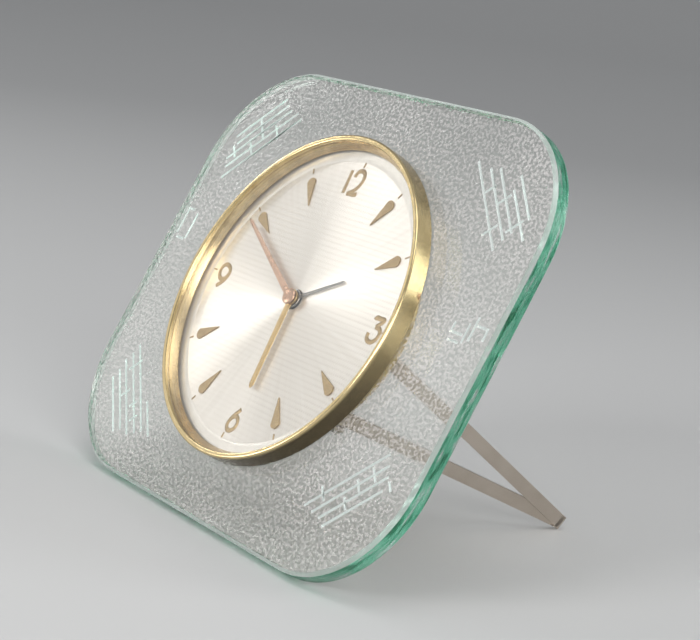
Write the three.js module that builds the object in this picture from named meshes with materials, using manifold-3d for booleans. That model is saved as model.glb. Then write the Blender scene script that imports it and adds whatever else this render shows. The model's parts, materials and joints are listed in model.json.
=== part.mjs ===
// Strut alarm clock: a round brass movement case set in a thick glass plate that leans back on a strut.
// Millimetres, +Z up. The dial faces -Y and the clock stands on z = 0.
//
// Every piece is drawn in the dial's own frame: x to the right of the dial, y up the dial and z out of
// the dial towards the viewer, with the plate's front face at z = 0. One group then leans that frame back.

import * as THREE from 'three';
import { mergeVertices } from 'three/addons/utils/BufferGeometryUtils.js';
import Module from 'manifold-3d';

// Glass plate
const PLATE_WIDTH = 130;
const PLATE_HEIGHT = 108;
const PLATE_THICKNESS = 5;
const PLATE_CORNER_RADIUS = 28;
const PLATE_CHAMFER = 0.8;

// Bezel, crystal and dial. The dial's own sizes are steps inwards from the bezel's wall.
const BEZEL_RADIUS = 40;
const BEZEL_WALL = 1.3;
const BEZEL_HEIGHT = 5.1;
const BEZEL_EDGE_ROUND = 0.4;
const CRYSTAL_THICKNESS = 0.7;
const CRYSTAL_RECESS = 0.5;
const DIAL_FACE_Z = 1.4;
const DIAL_THICKNESS = 0.4;
const DIAL_STEP_WIDTH = 2;
const DIAL_STEP_HEIGHT = 0.4;
const DIAL_STEP_SLOPE = 0.3;
const REVEAL_WIDTH = 1.7;
const REVEAL_LIP = 0.5;
const MARKER_INSET = 4.6;
const MARKER_LENGTH = 7.6;
const MARKER_WIDTH = 2.8;
const MARKER_POINT_WIDTH = 0.24;
const MARKER_HEIGHT = 0.3;
const MARKER_HOURS = [1, 2, 4, 5, 7, 8, 10, 11];

// Hands and the pipes that carry them
const SHOWN_MINUTES = 49.3;
const SHOWN_HOUR = 5;
const ALARM_ANGLE_DEG = 61.5;
const MINUTE_HAND_INSET = 4.8;
const HOUR_HAND_INSET = 2.4;
const ALARM_HAND_INSET = 5.4;
const MINUTE_HAND_WIDTH = 2;
const HOUR_HAND_WIDTH = 1.8;
const ALARM_HAND_WIDTH = 1.3;
const ALARM_BAR_WIDTH = 0.39;
const MINUTE_HAND_POINT = 1.4;
const HOUR_HAND_POINT = 1;
const HAND_TAPER = 0.62;
const ALARM_BLADE_THICKNESS = 0.25;
const HOUR_BLADE_THICKNESS = 0.35;
const MINUTE_BLADE_THICKNESS = 0.3;
const BLADE_GAP = 0.35;
const CAP_HEIGHT = 0.45;
const CAP_LIP = 0.3;
const MINUTE_ARBOR_RADIUS = 0.9;
const PIPE_WALL = 0.4;
const PIPE_GAP = 0.25;
const PIPE_DEPTH = 1.2;

// Movement case behind the glass
const CASE_RADIUS = 26;
const CASE_WALL = 1;
const CASE_PROUD = 8;
const FLANGE_THICKNESS = 0.5;
const COVER_THICKNESS = 1;
const COVER_SKIRT = 4;
const COVER_SKIRT_WALL = 0.7;
const COVER_EDGE = 0.5;
const RING_OVERHANG = 4.4;
const RING_THICKNESS = 2;
const RING_NOTCH_WIDTH = 4;
const RING_NOTCH_DEPTH = 1.6;
const WASHER_THICKNESS = 0.6;
const WASHER_LIP = 0.6;

// Places and radii on the movement and on the back, as shares of the case radius
const CASE_RATIOS = {
  timeKey: [-0.423, 0.442],
  alarmKey: [0.423, 0.442],
  timeKnob: [-0.308, -0.731],
  alarmKnob: [0.231, -0.346],
  regulator: [0, 0.538],
  button: [0.827, 0.212],
  hinge: [0.6212, -0.4],
  hingeSpread: 0.646,
  pillarCircle: 0.808,
  barrel: 0.323,
  centreWheel: 0.277,
  thirdWheel: 0.215,
  thirdArbor: [-0.212, -0.327],
  escapeWheel: 0.162,
  escapeArbor: [0.173, -0.577],
  balance: 0.215,
  balanceStaff: [0.519, -0.288],
};

// Movement
const FRAME_THICKNESS = 1.2;
const FRONT_FRAME_DEPTH = 0.9;
const BACK_FRAME_LIFT = 3;
const PILLAR_RADIUS = 1.6;
const PILLAR_ANGLES_DEG = [90, 200, 310];
const BARREL_TEETH = 30;
const BARREL_TOOTH_DEPTH = 0.7;
const BARREL_RIM = 2;
const WHEEL_THICKNESS = 0.8;
const WHEEL_TOOTH_DEPTH = 0.6;
const WHEEL_RIM = 0.84;
const WHEEL_ARBOR_RADIUS = 0.8;
const WHEEL_BORE_WALL = 1.6;
const WHEEL_SPOKE_WIDTH = 1.1;
const CENTRE_WHEEL_TEETH = 24;
const CENTRE_WHEEL_LIFT = 1.4;
const THIRD_WHEEL_TEETH = 20;
const THIRD_WHEEL_LIFT = 3.2;
const ESCAPE_WHEEL_TEETH = 15;
const ESCAPE_WHEEL_LIFT = 5;
const BALANCE_RIM = 0.9;
const BALANCE_LIFT = 5;

// Keys, knobs, regulator and alarm button on the back
const KEY_SPAN = 14;
const KEY_HEIGHT = 6.5;
const KEY_THICKNESS = 1.5;
const KEY_WAIST = 4;
const KEY_GRIP_SINK = 0.6;
const KEY_HUB_RADIUS = 2.2;
const KEY_HUB_HEIGHT = 2.6;
const KEY_ARBOR_RADIUS = 1.5;
const TIME_KEY_TURN_DEG = 35;
const ALARM_KEY_TURN_DEG = -40;
const KNOB_RADIUS = 4.2;
const KNOB_HEIGHT = 2.6;
const KNOB_FLUTES = 20;
const KNOB_FLUTE_DEPTH = 0.35;
const KNOB_CHAMFER = 0.4;
const KNOB_STEM_RADIUS = 1.2;
const KNOB_LIFT = 1.2;
const REGULATOR_REACH = 7;
const REGULATOR_SWING_DEG = 24;
const REGULATOR_SLOT_SPARE_DEG = 12;
const REGULATOR_BOSS_RADIUS = 1.8;
const REGULATOR_END_RADIUS = 1.1;
const REGULATOR_PIN_RADIUS = 0.8;
const REGULATOR_ARM_THICKNESS = 0.6;
const REGULATOR_PIN_PROUD = 1;
const BUTTON_RADIUS = 1.5;
const BUTTON_HEAD_RADIUS = 1.9;
const BUTTON_HEAD_HEIGHT = 1.2;
const BUTTON_DOME = 0.5;
const BUTTON_STEM_INSIDE = 0.4;
const BUTTON_TRAVEL = 1.2;
const COVER_SCREW_INSET = 2.4;
const COVER_SCREW_ANGLES_DEG = [55, 175, 275];
const SCREW_HEAD_RADIUS = 1.5;
const SCREW_HEAD_HEIGHT = 0.8;
const SCREW_SHANK_RADIUS = 0.7;
const SCREW_SHANK_LENGTH = 2.6;
const SCREW_SLOT_WIDTH = 0.45;
const SCREW_SLOT_DEPTH = 0.4;

// Strut, its bracket and pin
const HINGE_TILT_DEG = 12.7;
const OPEN_ANGLE_DEG = 94;
const STRUT_REACH = 67.8;
const STRUT_FOOT_DROP = 3.45;
const STRUT_WIDTH = 3;
const STRUT_STRIP = 0.8;
const EYE_WALL = 0.8;
const PIN_RADIUS = 0.9;
const PIN_HEAD_RADIUS = 1.6;
const PIN_HEAD_HEIGHT = 0.6;
const EAR_THICKNESS = 1;
const BRACKET_THICKNESS = 0.8;
const BRACKET_WIDTH = 5.6;
const BRACKET_CORNER = 1;
const BRACKET_RIVET_RADIUS = 1.1;
const BRACKET_RIVET_HEIGHT = 0.5;

// Clearances
const SEAT_GAP = 0.3;
const RUN_GAP = 0.3;
const HOLE_GAP = 0.3;

// Overlap of pieces that are fused, and spare length of the tools that cut through
const FUSE = 0.5;
const THROUGH = 1;

// Halvings of the range in which the lean is found
const LEAN_STEPS = 40;

const wasm = await Module();
wasm.setup();

const radians = (degrees) => degrees * Math.PI / 180;
const around = (radius, degrees) => [radius * Math.cos(radians(degrees)), radius * Math.sin(radians(degrees))];
const clockAngle = (degrees) => radians(90 - degrees);
const ofCase = (ratio) => ratio * CASE_RADIUS;
const onCase = (name) => CASE_RATIOS[name].map(ofCase);

// Solid of a closed geometry, its shared corners merged.
function solid(geometry) {
  const bare = geometry.clone();
  bare.deleteAttribute('normal');
  bare.deleteAttribute('uv');
  const merged = mergeVertices(bare, 1e-4);
  return new wasm.Manifold(new wasm.Mesh({
    numProp: 3,
    vertProperties: new Float32Array(merged.attributes.position.array),
    triVerts: new Uint32Array(merged.index.array),
  }));
}

// Geometry of a solid, flat shaded.
function geometryOf(body) {
  const mesh = body.getMesh();
  const geometry = new THREE.BufferGeometry();
  geometry.setAttribute('position', new THREE.BufferAttribute(new Float32Array(mesh.vertProperties), 3));
  geometry.setIndex(new THREE.BufferAttribute(new Uint32Array(mesh.triVerts), 1));
  const flat = geometry.toNonIndexed();
  flat.computeVertexNormals();
  return flat;
}

function join(first, ...others) {
  return geometryOf(others.reduce((body, other) => body.add(solid(other)), solid(first)));
}

function cut(first, ...others) {
  return geometryOf(others.reduce((body, other) => body.subtract(solid(other)), solid(first)));
}

// Flat shape raised from z = low to z = high.
function slab(shape, low, high, segments = 24) {
  const geometry = new THREE.ExtrudeGeometry(shape, {
    depth: high - low,
    bevelEnabled: false,
    curveSegments: segments,
  });
  return geometry.translate(0, 0, low);
}

// Flat shape raised from z = low to z = high with a straight chamfer round both faces.
function chamferedSlab(shape, low, high, chamfer, segments = 24) {
  const geometry = new THREE.ExtrudeGeometry(shape, {
    depth: high - low - 2 * chamfer,
    bevelEnabled: true,
    bevelSegments: 1,
    bevelSize: chamfer,
    bevelThickness: chamfer,
    bevelOffset: -chamfer,
    curveSegments: segments,
  });
  return geometry.translate(0, 0, low + chamfer);
}

// Closed profile of [radius, z] corners turned about the dial's axis.
function turned(profile, segments = 64) {
  const corners = [...profile, profile[0]].map(([radius, z]) => new THREE.Vector2(radius, z));
  const area = corners.slice(1).reduce(
    (sum, corner, index) => sum + corners[index].x * corner.y - corner.x * corners[index].y, 0);
  const geometry = new THREE.LatheGeometry(area > 0 ? corners : corners.reverse(), segments);
  return geometry.rotateX(Math.PI / 2);
}

function disc(x, y, radius, low, high, segments = 32) {
  const geometry = new THREE.CylinderGeometry(radius, radius, high - low, segments);
  return geometry.rotateX(Math.PI / 2).translate(x, y, (low + high) / 2);
}

function tube(outer, inner, low, high, segments = 48) {
  return turned([[inner, low], [outer, low], [outer, high], [inner, high]], segments);
}

function circle(x, y, radius) {
  const path = new THREE.Path();
  path.absarc(x, y, radius, 0, 2 * Math.PI, true);
  return path;
}

function roundPlate(radius, holes) {
  const shape = new THREE.Shape();
  shape.absarc(0, 0, radius, 0, 2 * Math.PI, false);
  shape.holes.push(...holes);
  return shape;
}

function roundedRectangle(width, height, radius) {
  const right = width / 2 - radius;
  const top = height / 2 - radius;
  const shape = new THREE.Shape();
  shape.absarc(right, top, radius, 0, Math.PI / 2, false);
  shape.absarc(-right, top, radius, Math.PI / 2, Math.PI, false);
  shape.absarc(-right, -top, radius, Math.PI, 1.5 * Math.PI, false);
  shape.absarc(right, -top, radius, 1.5 * Math.PI, 2 * Math.PI, false);
  return shape;
}

function polygon(points) {
  const shape = new THREE.Shape();
  shape.moveTo(...points[0]);
  points.slice(1).forEach((point) => shape.lineTo(...point));
  shape.closePath();
  return shape;
}

const clock = new THREE.Group();

function add(name, geometry, [color, roughness, metalness], parent = clock) {
  const material = new THREE.MeshStandardMaterial({ color, roughness, metalness });
  if (color === GLASS[0]) {
    material.transparent = true;
    material.opacity = 0.45;
  }
  const mesh = new THREE.Mesh(geometry, material);
  mesh.name = name;
  parent.add(mesh);
  return mesh;
}

// Finishes as colour, roughness and metalness
const GLASS = ['#bfe0cf', 0.12, 0];
const BRASS = ['#cdb982', 0.28, 1];
const GOLD = ['#d8c48a', 0.22, 1];
const ROSE = ['#c8967a', 0.3, 1];
const SILVER_DIAL = ['#e6e2d6', 0.45, 0.4];
const DARK_STEEL = ['#6e6e70', 0.35, 1];
const STEEL = ['#a8a294', 0.35, 1];
const STRUT_METAL = ['#a59687', 0.4, 0.9];
const FIBRE = ['#4a3b30', 0.9, 0];
const MOVEMENT_BRASS = ['#b79a55', 0.35, 1];

// Levels worked out from the sizes above
const plateBack = -PLATE_THICKNESS;
const holeRadius = CASE_RADIUS + HOLE_GAP;
const flangeLow = SEAT_GAP;
const flangeHigh = flangeLow + FLANGE_THICKNESS;
const dialLow = DIAL_FACE_Z - DIAL_THICKNESS;
const bezelInner = BEZEL_RADIUS - BEZEL_WALL;
const insideBezel = bezelInner - SEAT_GAP;
const dialEdge = bezelInner - REVEAL_WIDTH;
const dialStepRadius = dialEdge - DIAL_STEP_WIDTH;
const markerOuter = dialEdge - MARKER_INSET;
const markerInner = markerOuter - MARKER_LENGTH;
const minuteLength = dialEdge - MINUTE_HAND_INSET;
const hourLength = markerInner - HOUR_HAND_INSET;
const alarmLength = hourLength - ALARM_HAND_INSET;
const crystalHigh = BEZEL_HEIGHT - CRYSTAL_RECESS;
const crystalLow = crystalHigh - CRYSTAL_THICKNESS;
const stepHigh = DIAL_FACE_Z + DIAL_STEP_HEIGHT;
const revealLow = stepHigh + SEAT_GAP;
const revealHigh = crystalLow - SEAT_GAP;
const caseBack = plateBack - CASE_PROUD;
const coverHigh = caseBack - SEAT_GAP;
const coverBack = coverHigh - COVER_THICKNESS;
const coverInner = CASE_RADIUS + SEAT_GAP;
const coverOuter = coverInner + COVER_SKIRT_WALL;
const frameRadius = CASE_RADIUS - CASE_WALL - 2 * SEAT_GAP;
const frontFrameHigh = flangeLow - FRONT_FRAME_DEPTH;
const trainHigh = frontFrameHigh - FRAME_THICKNESS;
const backFrameHigh = caseBack + BACK_FRAME_LIFT;
const backFrameLow = backFrameHigh - FRAME_THICKNESS;

// Glass plate with its round opening for the case
const plateShape = roundedRectangle(PLATE_WIDTH, PLATE_HEIGHT, PLATE_CORNER_RADIUS);
add('glass_plate', cut(
  chamferedSlab(plateShape, plateBack, 0, PLATE_CHAMFER, 14),
  disc(0, 0, holeRadius, plateBack - THROUGH, THROUGH, 56),
), GLASS);

// Brass drum bezel with a rounded front rim
const rimRound = Array.from({ length: 3 }, (_, step) => {
  const [across, up] = around(BEZEL_EDGE_ROUND, 45 * step);
  return [BEZEL_RADIUS - BEZEL_EDGE_ROUND + across, BEZEL_HEIGHT - BEZEL_EDGE_ROUND + up];
});
add('bezel', turned([[bezelInner, SEAT_GAP], [BEZEL_RADIUS, SEAT_GAP], ...rimRound, [bezelInner, BEZEL_HEIGHT]],
  72), BRASS);

// Sloping gilt ring between dial and crystal
add('reveal_ring', turned([
  [dialEdge, revealLow],
  [insideBezel, revealLow],
  [insideBezel, revealHigh],
  [insideBezel - REVEAL_LIP, revealHigh],
], 64), GOLD);

add('crystal', disc(0, 0, insideBezel, crystalLow, crystalHigh, 64), GLASS);

// Pipes: alarm hand outermost, then hour hand, then the minute arbor
const hourPipeInner = MINUTE_ARBOR_RADIUS + PIPE_GAP;
const hourPipeOuter = hourPipeInner + PIPE_WALL;
const alarmPipeInner = hourPipeOuter + PIPE_GAP;
const alarmPipeOuter = alarmPipeInner + PIPE_WALL;
const dialHole = alarmPipeOuter + RUN_GAP;

// Dial with its raised outer ring and the applied wedge markers
function markerShape(hour) {
  const half = MARKER_WIDTH / 2;
  const shoulder = markerOuter - half;
  const shape = new THREE.Shape();
  shape.moveTo(markerInner, -MARKER_POINT_WIDTH / 2);
  shape.lineTo(shoulder, -half);
  shape.absarc(shoulder, 0, half, -Math.PI / 2, Math.PI / 2, false);
  shape.lineTo(markerInner, MARKER_POINT_WIDTH / 2);
  shape.closePath();
  return slab(shape, DIAL_FACE_Z - DIAL_THICKNESS / 2, DIAL_FACE_Z + MARKER_HEIGHT, 4)
    .rotateZ(clockAngle(30 * hour));
}
add('dial', join(
  turned([
    [dialHole, dialLow],
    [insideBezel, dialLow],
    [insideBezel, stepHigh],
    [dialStepRadius, stepHigh],
    [dialStepRadius - DIAL_STEP_SLOPE, DIAL_FACE_Z],
    [dialHole, DIAL_FACE_Z],
  ], 64),
  ...MARKER_HOURS.map(markerShape),
), SILVER_DIAL);

// Hands: a blade along +x with its boss and pipe, turned to the hour it shows
const alarmBladeLow = DIAL_FACE_Z + BLADE_GAP;
const alarmBladeHigh = alarmBladeLow + ALARM_BLADE_THICKNESS;
const hourBladeLow = alarmBladeHigh + BLADE_GAP;
const hourBladeHigh = hourBladeLow + HOUR_BLADE_THICKNESS;
const minuteBladeLow = hourBladeHigh + BLADE_GAP;
const minuteBladeHigh = minuteBladeLow + MINUTE_BLADE_THICKNESS;
const pipeLow = dialLow - PIPE_DEPTH;

function batonShape(length, width, point) {
  const root = width / 2;
  const tip = root * HAND_TAPER;
  return polygon([[0, -root], [length - point, -tip], [length, 0], [length - point, tip], [0, root]]);
}

// Two thin bars that meet at the tip, joined by the boss
function forkShape(length, width, bar) {
  const shape = batonShape(length, width, bar);
  const start = alarmPipeOuter + 2 * bar;
  const end = length - 3 * bar;
  const halfStart = width / 2 - bar;
  const halfEnd = halfStart * HAND_TAPER ** 2;
  const slot = new THREE.Path();
  slot.moveTo(start, -halfStart);
  slot.lineTo(start, halfStart);
  slot.lineTo(end, halfEnd);
  slot.lineTo(end, -halfEnd);
  slot.closePath();
  shape.holes.push(slot);
  return shape;
}

function hand(blade, outer, inner, bladeLow, bladeHigh, low) {
  const boss = tube(outer + PIPE_WALL, inner, bladeLow, bladeHigh, 20);
  const pipe = tube(outer, inner, low, bladeHigh, 20);
  const bore = disc(0, 0, inner, low - THROUGH, bladeHigh + THROUGH, 20);
  return geometryOf(solid(blade).subtract(solid(bore)).add(solid(boss)).add(solid(pipe)));
}

const alarmHand = add('alarm_hand', hand(
  slab(forkShape(alarmLength, ALARM_HAND_WIDTH, ALARM_BAR_WIDTH), alarmBladeLow, alarmBladeHigh),
  alarmPipeOuter, alarmPipeInner, alarmBladeLow, alarmBladeHigh, pipeLow,
), DARK_STEEL);
alarmHand.rotation.z = clockAngle(ALARM_ANGLE_DEG);

const hourHand = add('hour_hand', hand(
  slab(batonShape(hourLength, HOUR_HAND_WIDTH, HOUR_HAND_POINT), hourBladeLow, hourBladeHigh),
  hourPipeOuter, hourPipeInner, hourBladeLow, hourBladeHigh, pipeLow,
), GOLD);
hourHand.rotation.z = clockAngle(30 * (SHOWN_HOUR + SHOWN_MINUTES / 60));

const capHigh = minuteBladeHigh + CAP_HEIGHT;
const centreWheelZ = backFrameHigh + CENTRE_WHEEL_LIFT;
const minuteHand = add('minute_hand', join(
  slab(batonShape(minuteLength, MINUTE_HAND_WIDTH, MINUTE_HAND_POINT), minuteBladeLow, minuteBladeHigh),
  disc(0, 0, MINUTE_ARBOR_RADIUS, centreWheelZ + WHEEL_THICKNESS + RUN_GAP, minuteBladeHigh, 24),
  disc(0, 0, hourPipeOuter, minuteBladeLow, minuteBladeHigh, 32),
  turned([
    [0, minuteBladeLow],
    [hourPipeOuter + CAP_LIP, minuteBladeLow],
    [hourPipeOuter + CAP_LIP, capHigh - CAP_HEIGHT / 2],
    [hourPipeOuter - CAP_LIP, capHigh],
    [0, capHigh],
  ], 32),
), ROSE);
minuteHand.rotation.z = clockAngle(6 * SHOWN_MINUTES);

// Case: a flange under the dial and a tube that goes through the plate
add('case_tube', turned([
  [CASE_RADIUS - CASE_WALL, caseBack],
  [CASE_RADIUS, caseBack],
  [CASE_RADIUS, flangeLow],
  [insideBezel, flangeLow],
  [insideBezel, flangeHigh],
  [CASE_RADIUS - CASE_WALL, flangeHigh],
], 56), BRASS);

// Fibre washer and notched ring nut that clamp the plate from behind
const nutOuter = CASE_RADIUS + RING_OVERHANG;
const washerLow = plateBack - SEAT_GAP - WASHER_THICKNESS;
const nutHigh = washerLow - SEAT_GAP;
const nutLow = nutHigh - RING_THICKNESS;
add('plate_washer', tube(nutOuter + WASHER_LIP, coverInner, washerLow, plateBack - SEAT_GAP, 48), FIBRE);
const notch = new THREE.BoxGeometry(2 * RING_NOTCH_DEPTH, RING_NOTCH_WIDTH, 2 * RING_THICKNESS);
const notches = [45, 135, 225, 315].map((degrees) => notch.clone()
  .translate(nutOuter, 0, (nutLow + nutHigh) / 2)
  .rotateZ(radians(degrees)));
add('ring_nut', cut(tube(nutOuter, coverInner, nutLow, nutHigh, 48), ...notches), BRASS);

// Movement frame: two round plates on pillars
const stemHoles = [
  ...['timeKey', 'alarmKey'].map((name) => [...onCase(name), KEY_ARBOR_RADIUS + HOLE_GAP]),
  ...['timeKnob', 'alarmKnob'].map((name) => [...onCase(name), KNOB_STEM_RADIUS + HOLE_GAP]),
];
const insideLow = backFrameHigh + SEAT_GAP;
const insideHigh = trainHigh - SEAT_GAP;
add('front_frame', slab(roundPlate(frameRadius, [circle(0, 0, dialHole)]), trainHigh, frontFrameHigh, 12),
  MOVEMENT_BRASS);
add('back_frame', slab(roundPlate(frameRadius, stemHoles.map((hole) => circle(...hole))),
  backFrameLow, backFrameHigh, 12), MOVEMENT_BRASS);
PILLAR_ANGLES_DEG.forEach((degrees, index) => add(
  `pillar_${index + 1}`,
  disc(...around(ofCase(CASE_RATIOS.pillarCircle), degrees), PILLAR_RADIUS, insideLow, insideHigh, 20), BRASS));

// Toothed outline: raked teeth on a root circle
function gearShape(radius, teeth, depth) {
  const root = radius - depth;
  const points = [];
  for (let tooth = 0; tooth < teeth; tooth += 1) {
    const step = 360 / teeth;
    [[root, 0], [radius, 0.3], [radius, 0.6]].forEach(([length, part]) => {
      points.push(around(length, (tooth + part) * step));
    });
  }
  return polygon(points);
}

// Mainspring barrels: a toothed great wheel under a plain drum
const barrelRadius = ofCase(CASE_RATIOS.barrel);
[['time_barrel', 'timeKey'], ['alarm_barrel', 'alarmKey']].forEach(([name, place]) => {
  const wheel = slab(gearShape(barrelRadius, BARREL_TEETH, BARREL_TOOTH_DEPTH), insideLow, insideLow + BARREL_RIM, 1);
  const drum = disc(0, 0, barrelRadius - 2 * BARREL_TOOTH_DEPTH, insideLow, insideHigh, 28);
  add(name, join(wheel, drum).translate(...onCase(place), 0), MOVEMENT_BRASS);
});

// Train wheels with three spokes on their arbors
function spokedWheel(radius, teeth, z, high) {
  const top = z + WHEEL_THICKNESS;
  const ring = radius - WHEEL_TOOTH_DEPTH - WHEEL_RIM;
  const wheel = solid(slab(gearShape(radius, teeth, WHEEL_TOOTH_DEPTH), z, top, 1))
    .subtract(solid(disc(0, 0, ring, z - THROUGH, top + THROUGH, 24)));
  const hub = disc(0, 0, WHEEL_ARBOR_RADIUS + WHEEL_BORE_WALL, z, top, 14);
  const spoke = new THREE.BoxGeometry(ring + WHEEL_RIM / 2, WHEEL_SPOKE_WIDTH, WHEEL_THICKNESS)
    .translate((ring + WHEEL_RIM / 2) / 2, 0, z + WHEEL_THICKNESS / 2);
  const spokes = [0, 120, 240].map((degrees) => spoke.clone().rotateZ(radians(degrees)));
  const arbor = disc(0, 0, WHEEL_ARBOR_RADIUS, insideLow, high, 10);
  return geometryOf([hub, ...spokes, arbor].reduce((body, piece) => body.add(solid(piece)), wheel));
}
add('centre_wheel', spokedWheel(ofCase(CASE_RATIOS.centreWheel), CENTRE_WHEEL_TEETH, centreWheelZ,
  centreWheelZ + WHEEL_THICKNESS), MOVEMENT_BRASS);
add('third_wheel', spokedWheel(ofCase(CASE_RATIOS.thirdWheel), THIRD_WHEEL_TEETH,
  backFrameHigh + THIRD_WHEEL_LIFT, insideHigh).translate(...onCase('thirdArbor'), 0), MOVEMENT_BRASS);
add('escape_wheel', spokedWheel(ofCase(CASE_RATIOS.escapeWheel), ESCAPE_WHEEL_TEETH,
  backFrameHigh + ESCAPE_WHEEL_LIFT, insideHigh).translate(...onCase('escapeArbor'), 0), MOVEMENT_BRASS);

// Balance: a plain rim on two spokes
const balanceRadius = ofCase(CASE_RATIOS.balance);
const balanceZ = backFrameHigh + BALANCE_LIFT;
const balanceRim = tube(balanceRadius, balanceRadius - BALANCE_RIM, balanceZ, balanceZ + WHEEL_THICKNESS, 28);
const balanceBar = new THREE.BoxGeometry(2 * balanceRadius - BALANCE_RIM, WHEEL_SPOKE_WIDTH, WHEEL_THICKNESS)
  .translate(0, 0, balanceZ + WHEEL_THICKNESS / 2);
const balanceStaff = disc(0, 0, WHEEL_ARBOR_RADIUS, insideLow, insideHigh, 10);
add('balance', join(balanceRim, balanceBar, balanceStaff).translate(...onCase('balanceStaff'), 0), BRASS);

// Back cover: a shallow cap over the tube with holes for the keys, knobs, regulator and button
const slotInner = REGULATOR_REACH - REGULATOR_PIN_RADIUS - HOLE_GAP;
const slotOuter = REGULATOR_REACH + REGULATOR_PIN_RADIUS + HOLE_GAP;
const slotHalf = REGULATOR_SWING_DEG / 2 + REGULATOR_SLOT_SPARE_DEG;
const slotShape = new THREE.Shape();
slotShape.absarc(0, 0, slotOuter, radians(90 - slotHalf), radians(90 + slotHalf), false);
slotShape.absarc(0, 0, slotInner, radians(90 + slotHalf), radians(90 - slotHalf), true);
const screwPlaces = COVER_SCREW_ANGLES_DEG.map((degrees) => around(CASE_RADIUS - COVER_SCREW_INSET, degrees));
const coverHoles = [
  ...stemHoles,
  [...onCase('button'), BUTTON_RADIUS + HOLE_GAP],
  ...screwPlaces.map((place) => [...place, SCREW_SHANK_RADIUS + HOLE_GAP]),
];
const coverCuts = [
  slab(slotShape, coverBack - THROUGH, coverHigh + THROUGH, 6).translate(...onCase('regulator'), 0),
  ...coverHoles.map(([x, y, radius]) => disc(x, y, radius, coverBack - THROUGH, coverHigh + THROUGH, 16)),
];
add('back_cover', cut(turned([
  [0, coverBack],
  [coverOuter - COVER_EDGE, coverBack],
  [coverOuter, coverBack + COVER_EDGE],
  [coverOuter, caseBack + COVER_SKIRT],
  [coverInner, caseBack + COVER_SKIRT],
  [coverInner, coverHigh],
  [0, coverHigh],
], 56), ...coverCuts), BRASS);

// Slotted cover screws
const screwHeadHigh = coverBack - SEAT_GAP;
const screwHeadLow = screwHeadHigh - SCREW_HEAD_HEIGHT;
screwPlaces.forEach(([x, y], index) => {
  const head = disc(0, 0, SCREW_HEAD_RADIUS, screwHeadLow, screwHeadHigh, 16);
  const shank = disc(0, 0, SCREW_SHANK_RADIUS, screwHeadLow + SCREW_SLOT_DEPTH, screwHeadLow + SCREW_SHANK_LENGTH, 8);
  const slot = new THREE.BoxGeometry(3 * SCREW_HEAD_RADIUS, SCREW_SLOT_WIDTH, 2 * SCREW_SLOT_DEPTH)
    .translate(0, 0, screwHeadLow);
  const screw = solid(head).add(solid(shank)).subtract(solid(slot));
  add(`cover_screw_${index + 1}`, geometryOf(screw).translate(x, y, 0), STEEL);
});

// Winding keys: a butterfly grip on a hub and square-ended arbor.
// The grip's outline is given as shares of its half span and of its height.
const GRIP_RATIOS = {
  footPull: 0.6, sideLow: 0.1, sideMiddle: 0.5, topPull: 0.45, topRise: 1.1, dipEdge: 0.72, dipFloor: 0.55, dipHalf: 0.4,
};
function keyGrip() {
  const half = KEY_SPAN / 2;
  const up = (share) => share * KEY_HEIGHT;
  const { footPull, sideLow, sideMiddle, topPull, topRise, dipEdge, dipFloor, dipHalf } = GRIP_RATIOS;
  const shape = new THREE.Shape();
  shape.moveTo(-KEY_WAIST / 2, 0);
  shape.lineTo(KEY_WAIST / 2, 0);
  shape.bezierCurveTo(half * footPull, 0, half, up(sideLow), half, up(sideMiddle));
  shape.bezierCurveTo(half, up(1), half * topPull, up(topRise), KEY_WAIST * dipHalf, up(dipEdge));
  shape.quadraticCurveTo(0, up(dipFloor), -KEY_WAIST * dipHalf, up(dipEdge));
  shape.bezierCurveTo(-half * topPull, up(topRise), -half, up(1), -half, up(sideMiddle));
  shape.bezierCurveTo(-half, up(sideLow), -half * footPull, 0, -KEY_WAIST / 2, 0);
  return slab(shape, -KEY_THICKNESS / 2, KEY_THICKNESS / 2, 6).rotateX(-Math.PI / 2);
}
const keyHubHigh = coverBack - SEAT_GAP;
const keyHubLow = keyHubHigh - KEY_HUB_HEIGHT;
const keyArborHigh = insideLow - SEAT_GAP;
[['time_key', 'timeKey', TIME_KEY_TURN_DEG], ['alarm_key', 'alarmKey', ALARM_KEY_TURN_DEG]].forEach(
  ([name, place, turn]) => {
    const key = join(
      disc(0, 0, KEY_HUB_RADIUS, keyHubLow, keyHubHigh, 24),
      keyGrip().translate(0, 0, keyHubLow + KEY_GRIP_SINK),
      disc(0, 0, KEY_ARBOR_RADIUS, keyHubHigh - FUSE, keyArborHigh, 16),
    );
    const mesh = add(name, key, BRASS);
    mesh.position.set(...onCase(place), 0);
    mesh.rotation.z = radians(turn);
  });

// Fluted setting knobs on their stems
function knobShape() {
  const points = [];
  for (let step = 0; step < 2 * KNOB_FLUTES; step += 1) {
    points.push(around(KNOB_RADIUS - KNOB_FLUTE_DEPTH * (step % 2), 180 * step / KNOB_FLUTES));
  }
  return polygon(points);
}
const knobHigh = coverBack - KNOB_LIFT;
const knobLow = knobHigh - KNOB_HEIGHT;
[['time_knob', 'timeKnob'], ['alarm_knob', 'alarmKnob']].forEach(([name, place]) => {
  const knob = join(
    chamferedSlab(knobShape(), knobLow, knobHigh, KNOB_CHAMFER, 1),
    disc(0, 0, KNOB_STEM_RADIUS, knobHigh - FUSE, backFrameHigh, 16),
  );
  add(name, knob, BRASS).position.set(...onCase(place), 0);
});

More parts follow.
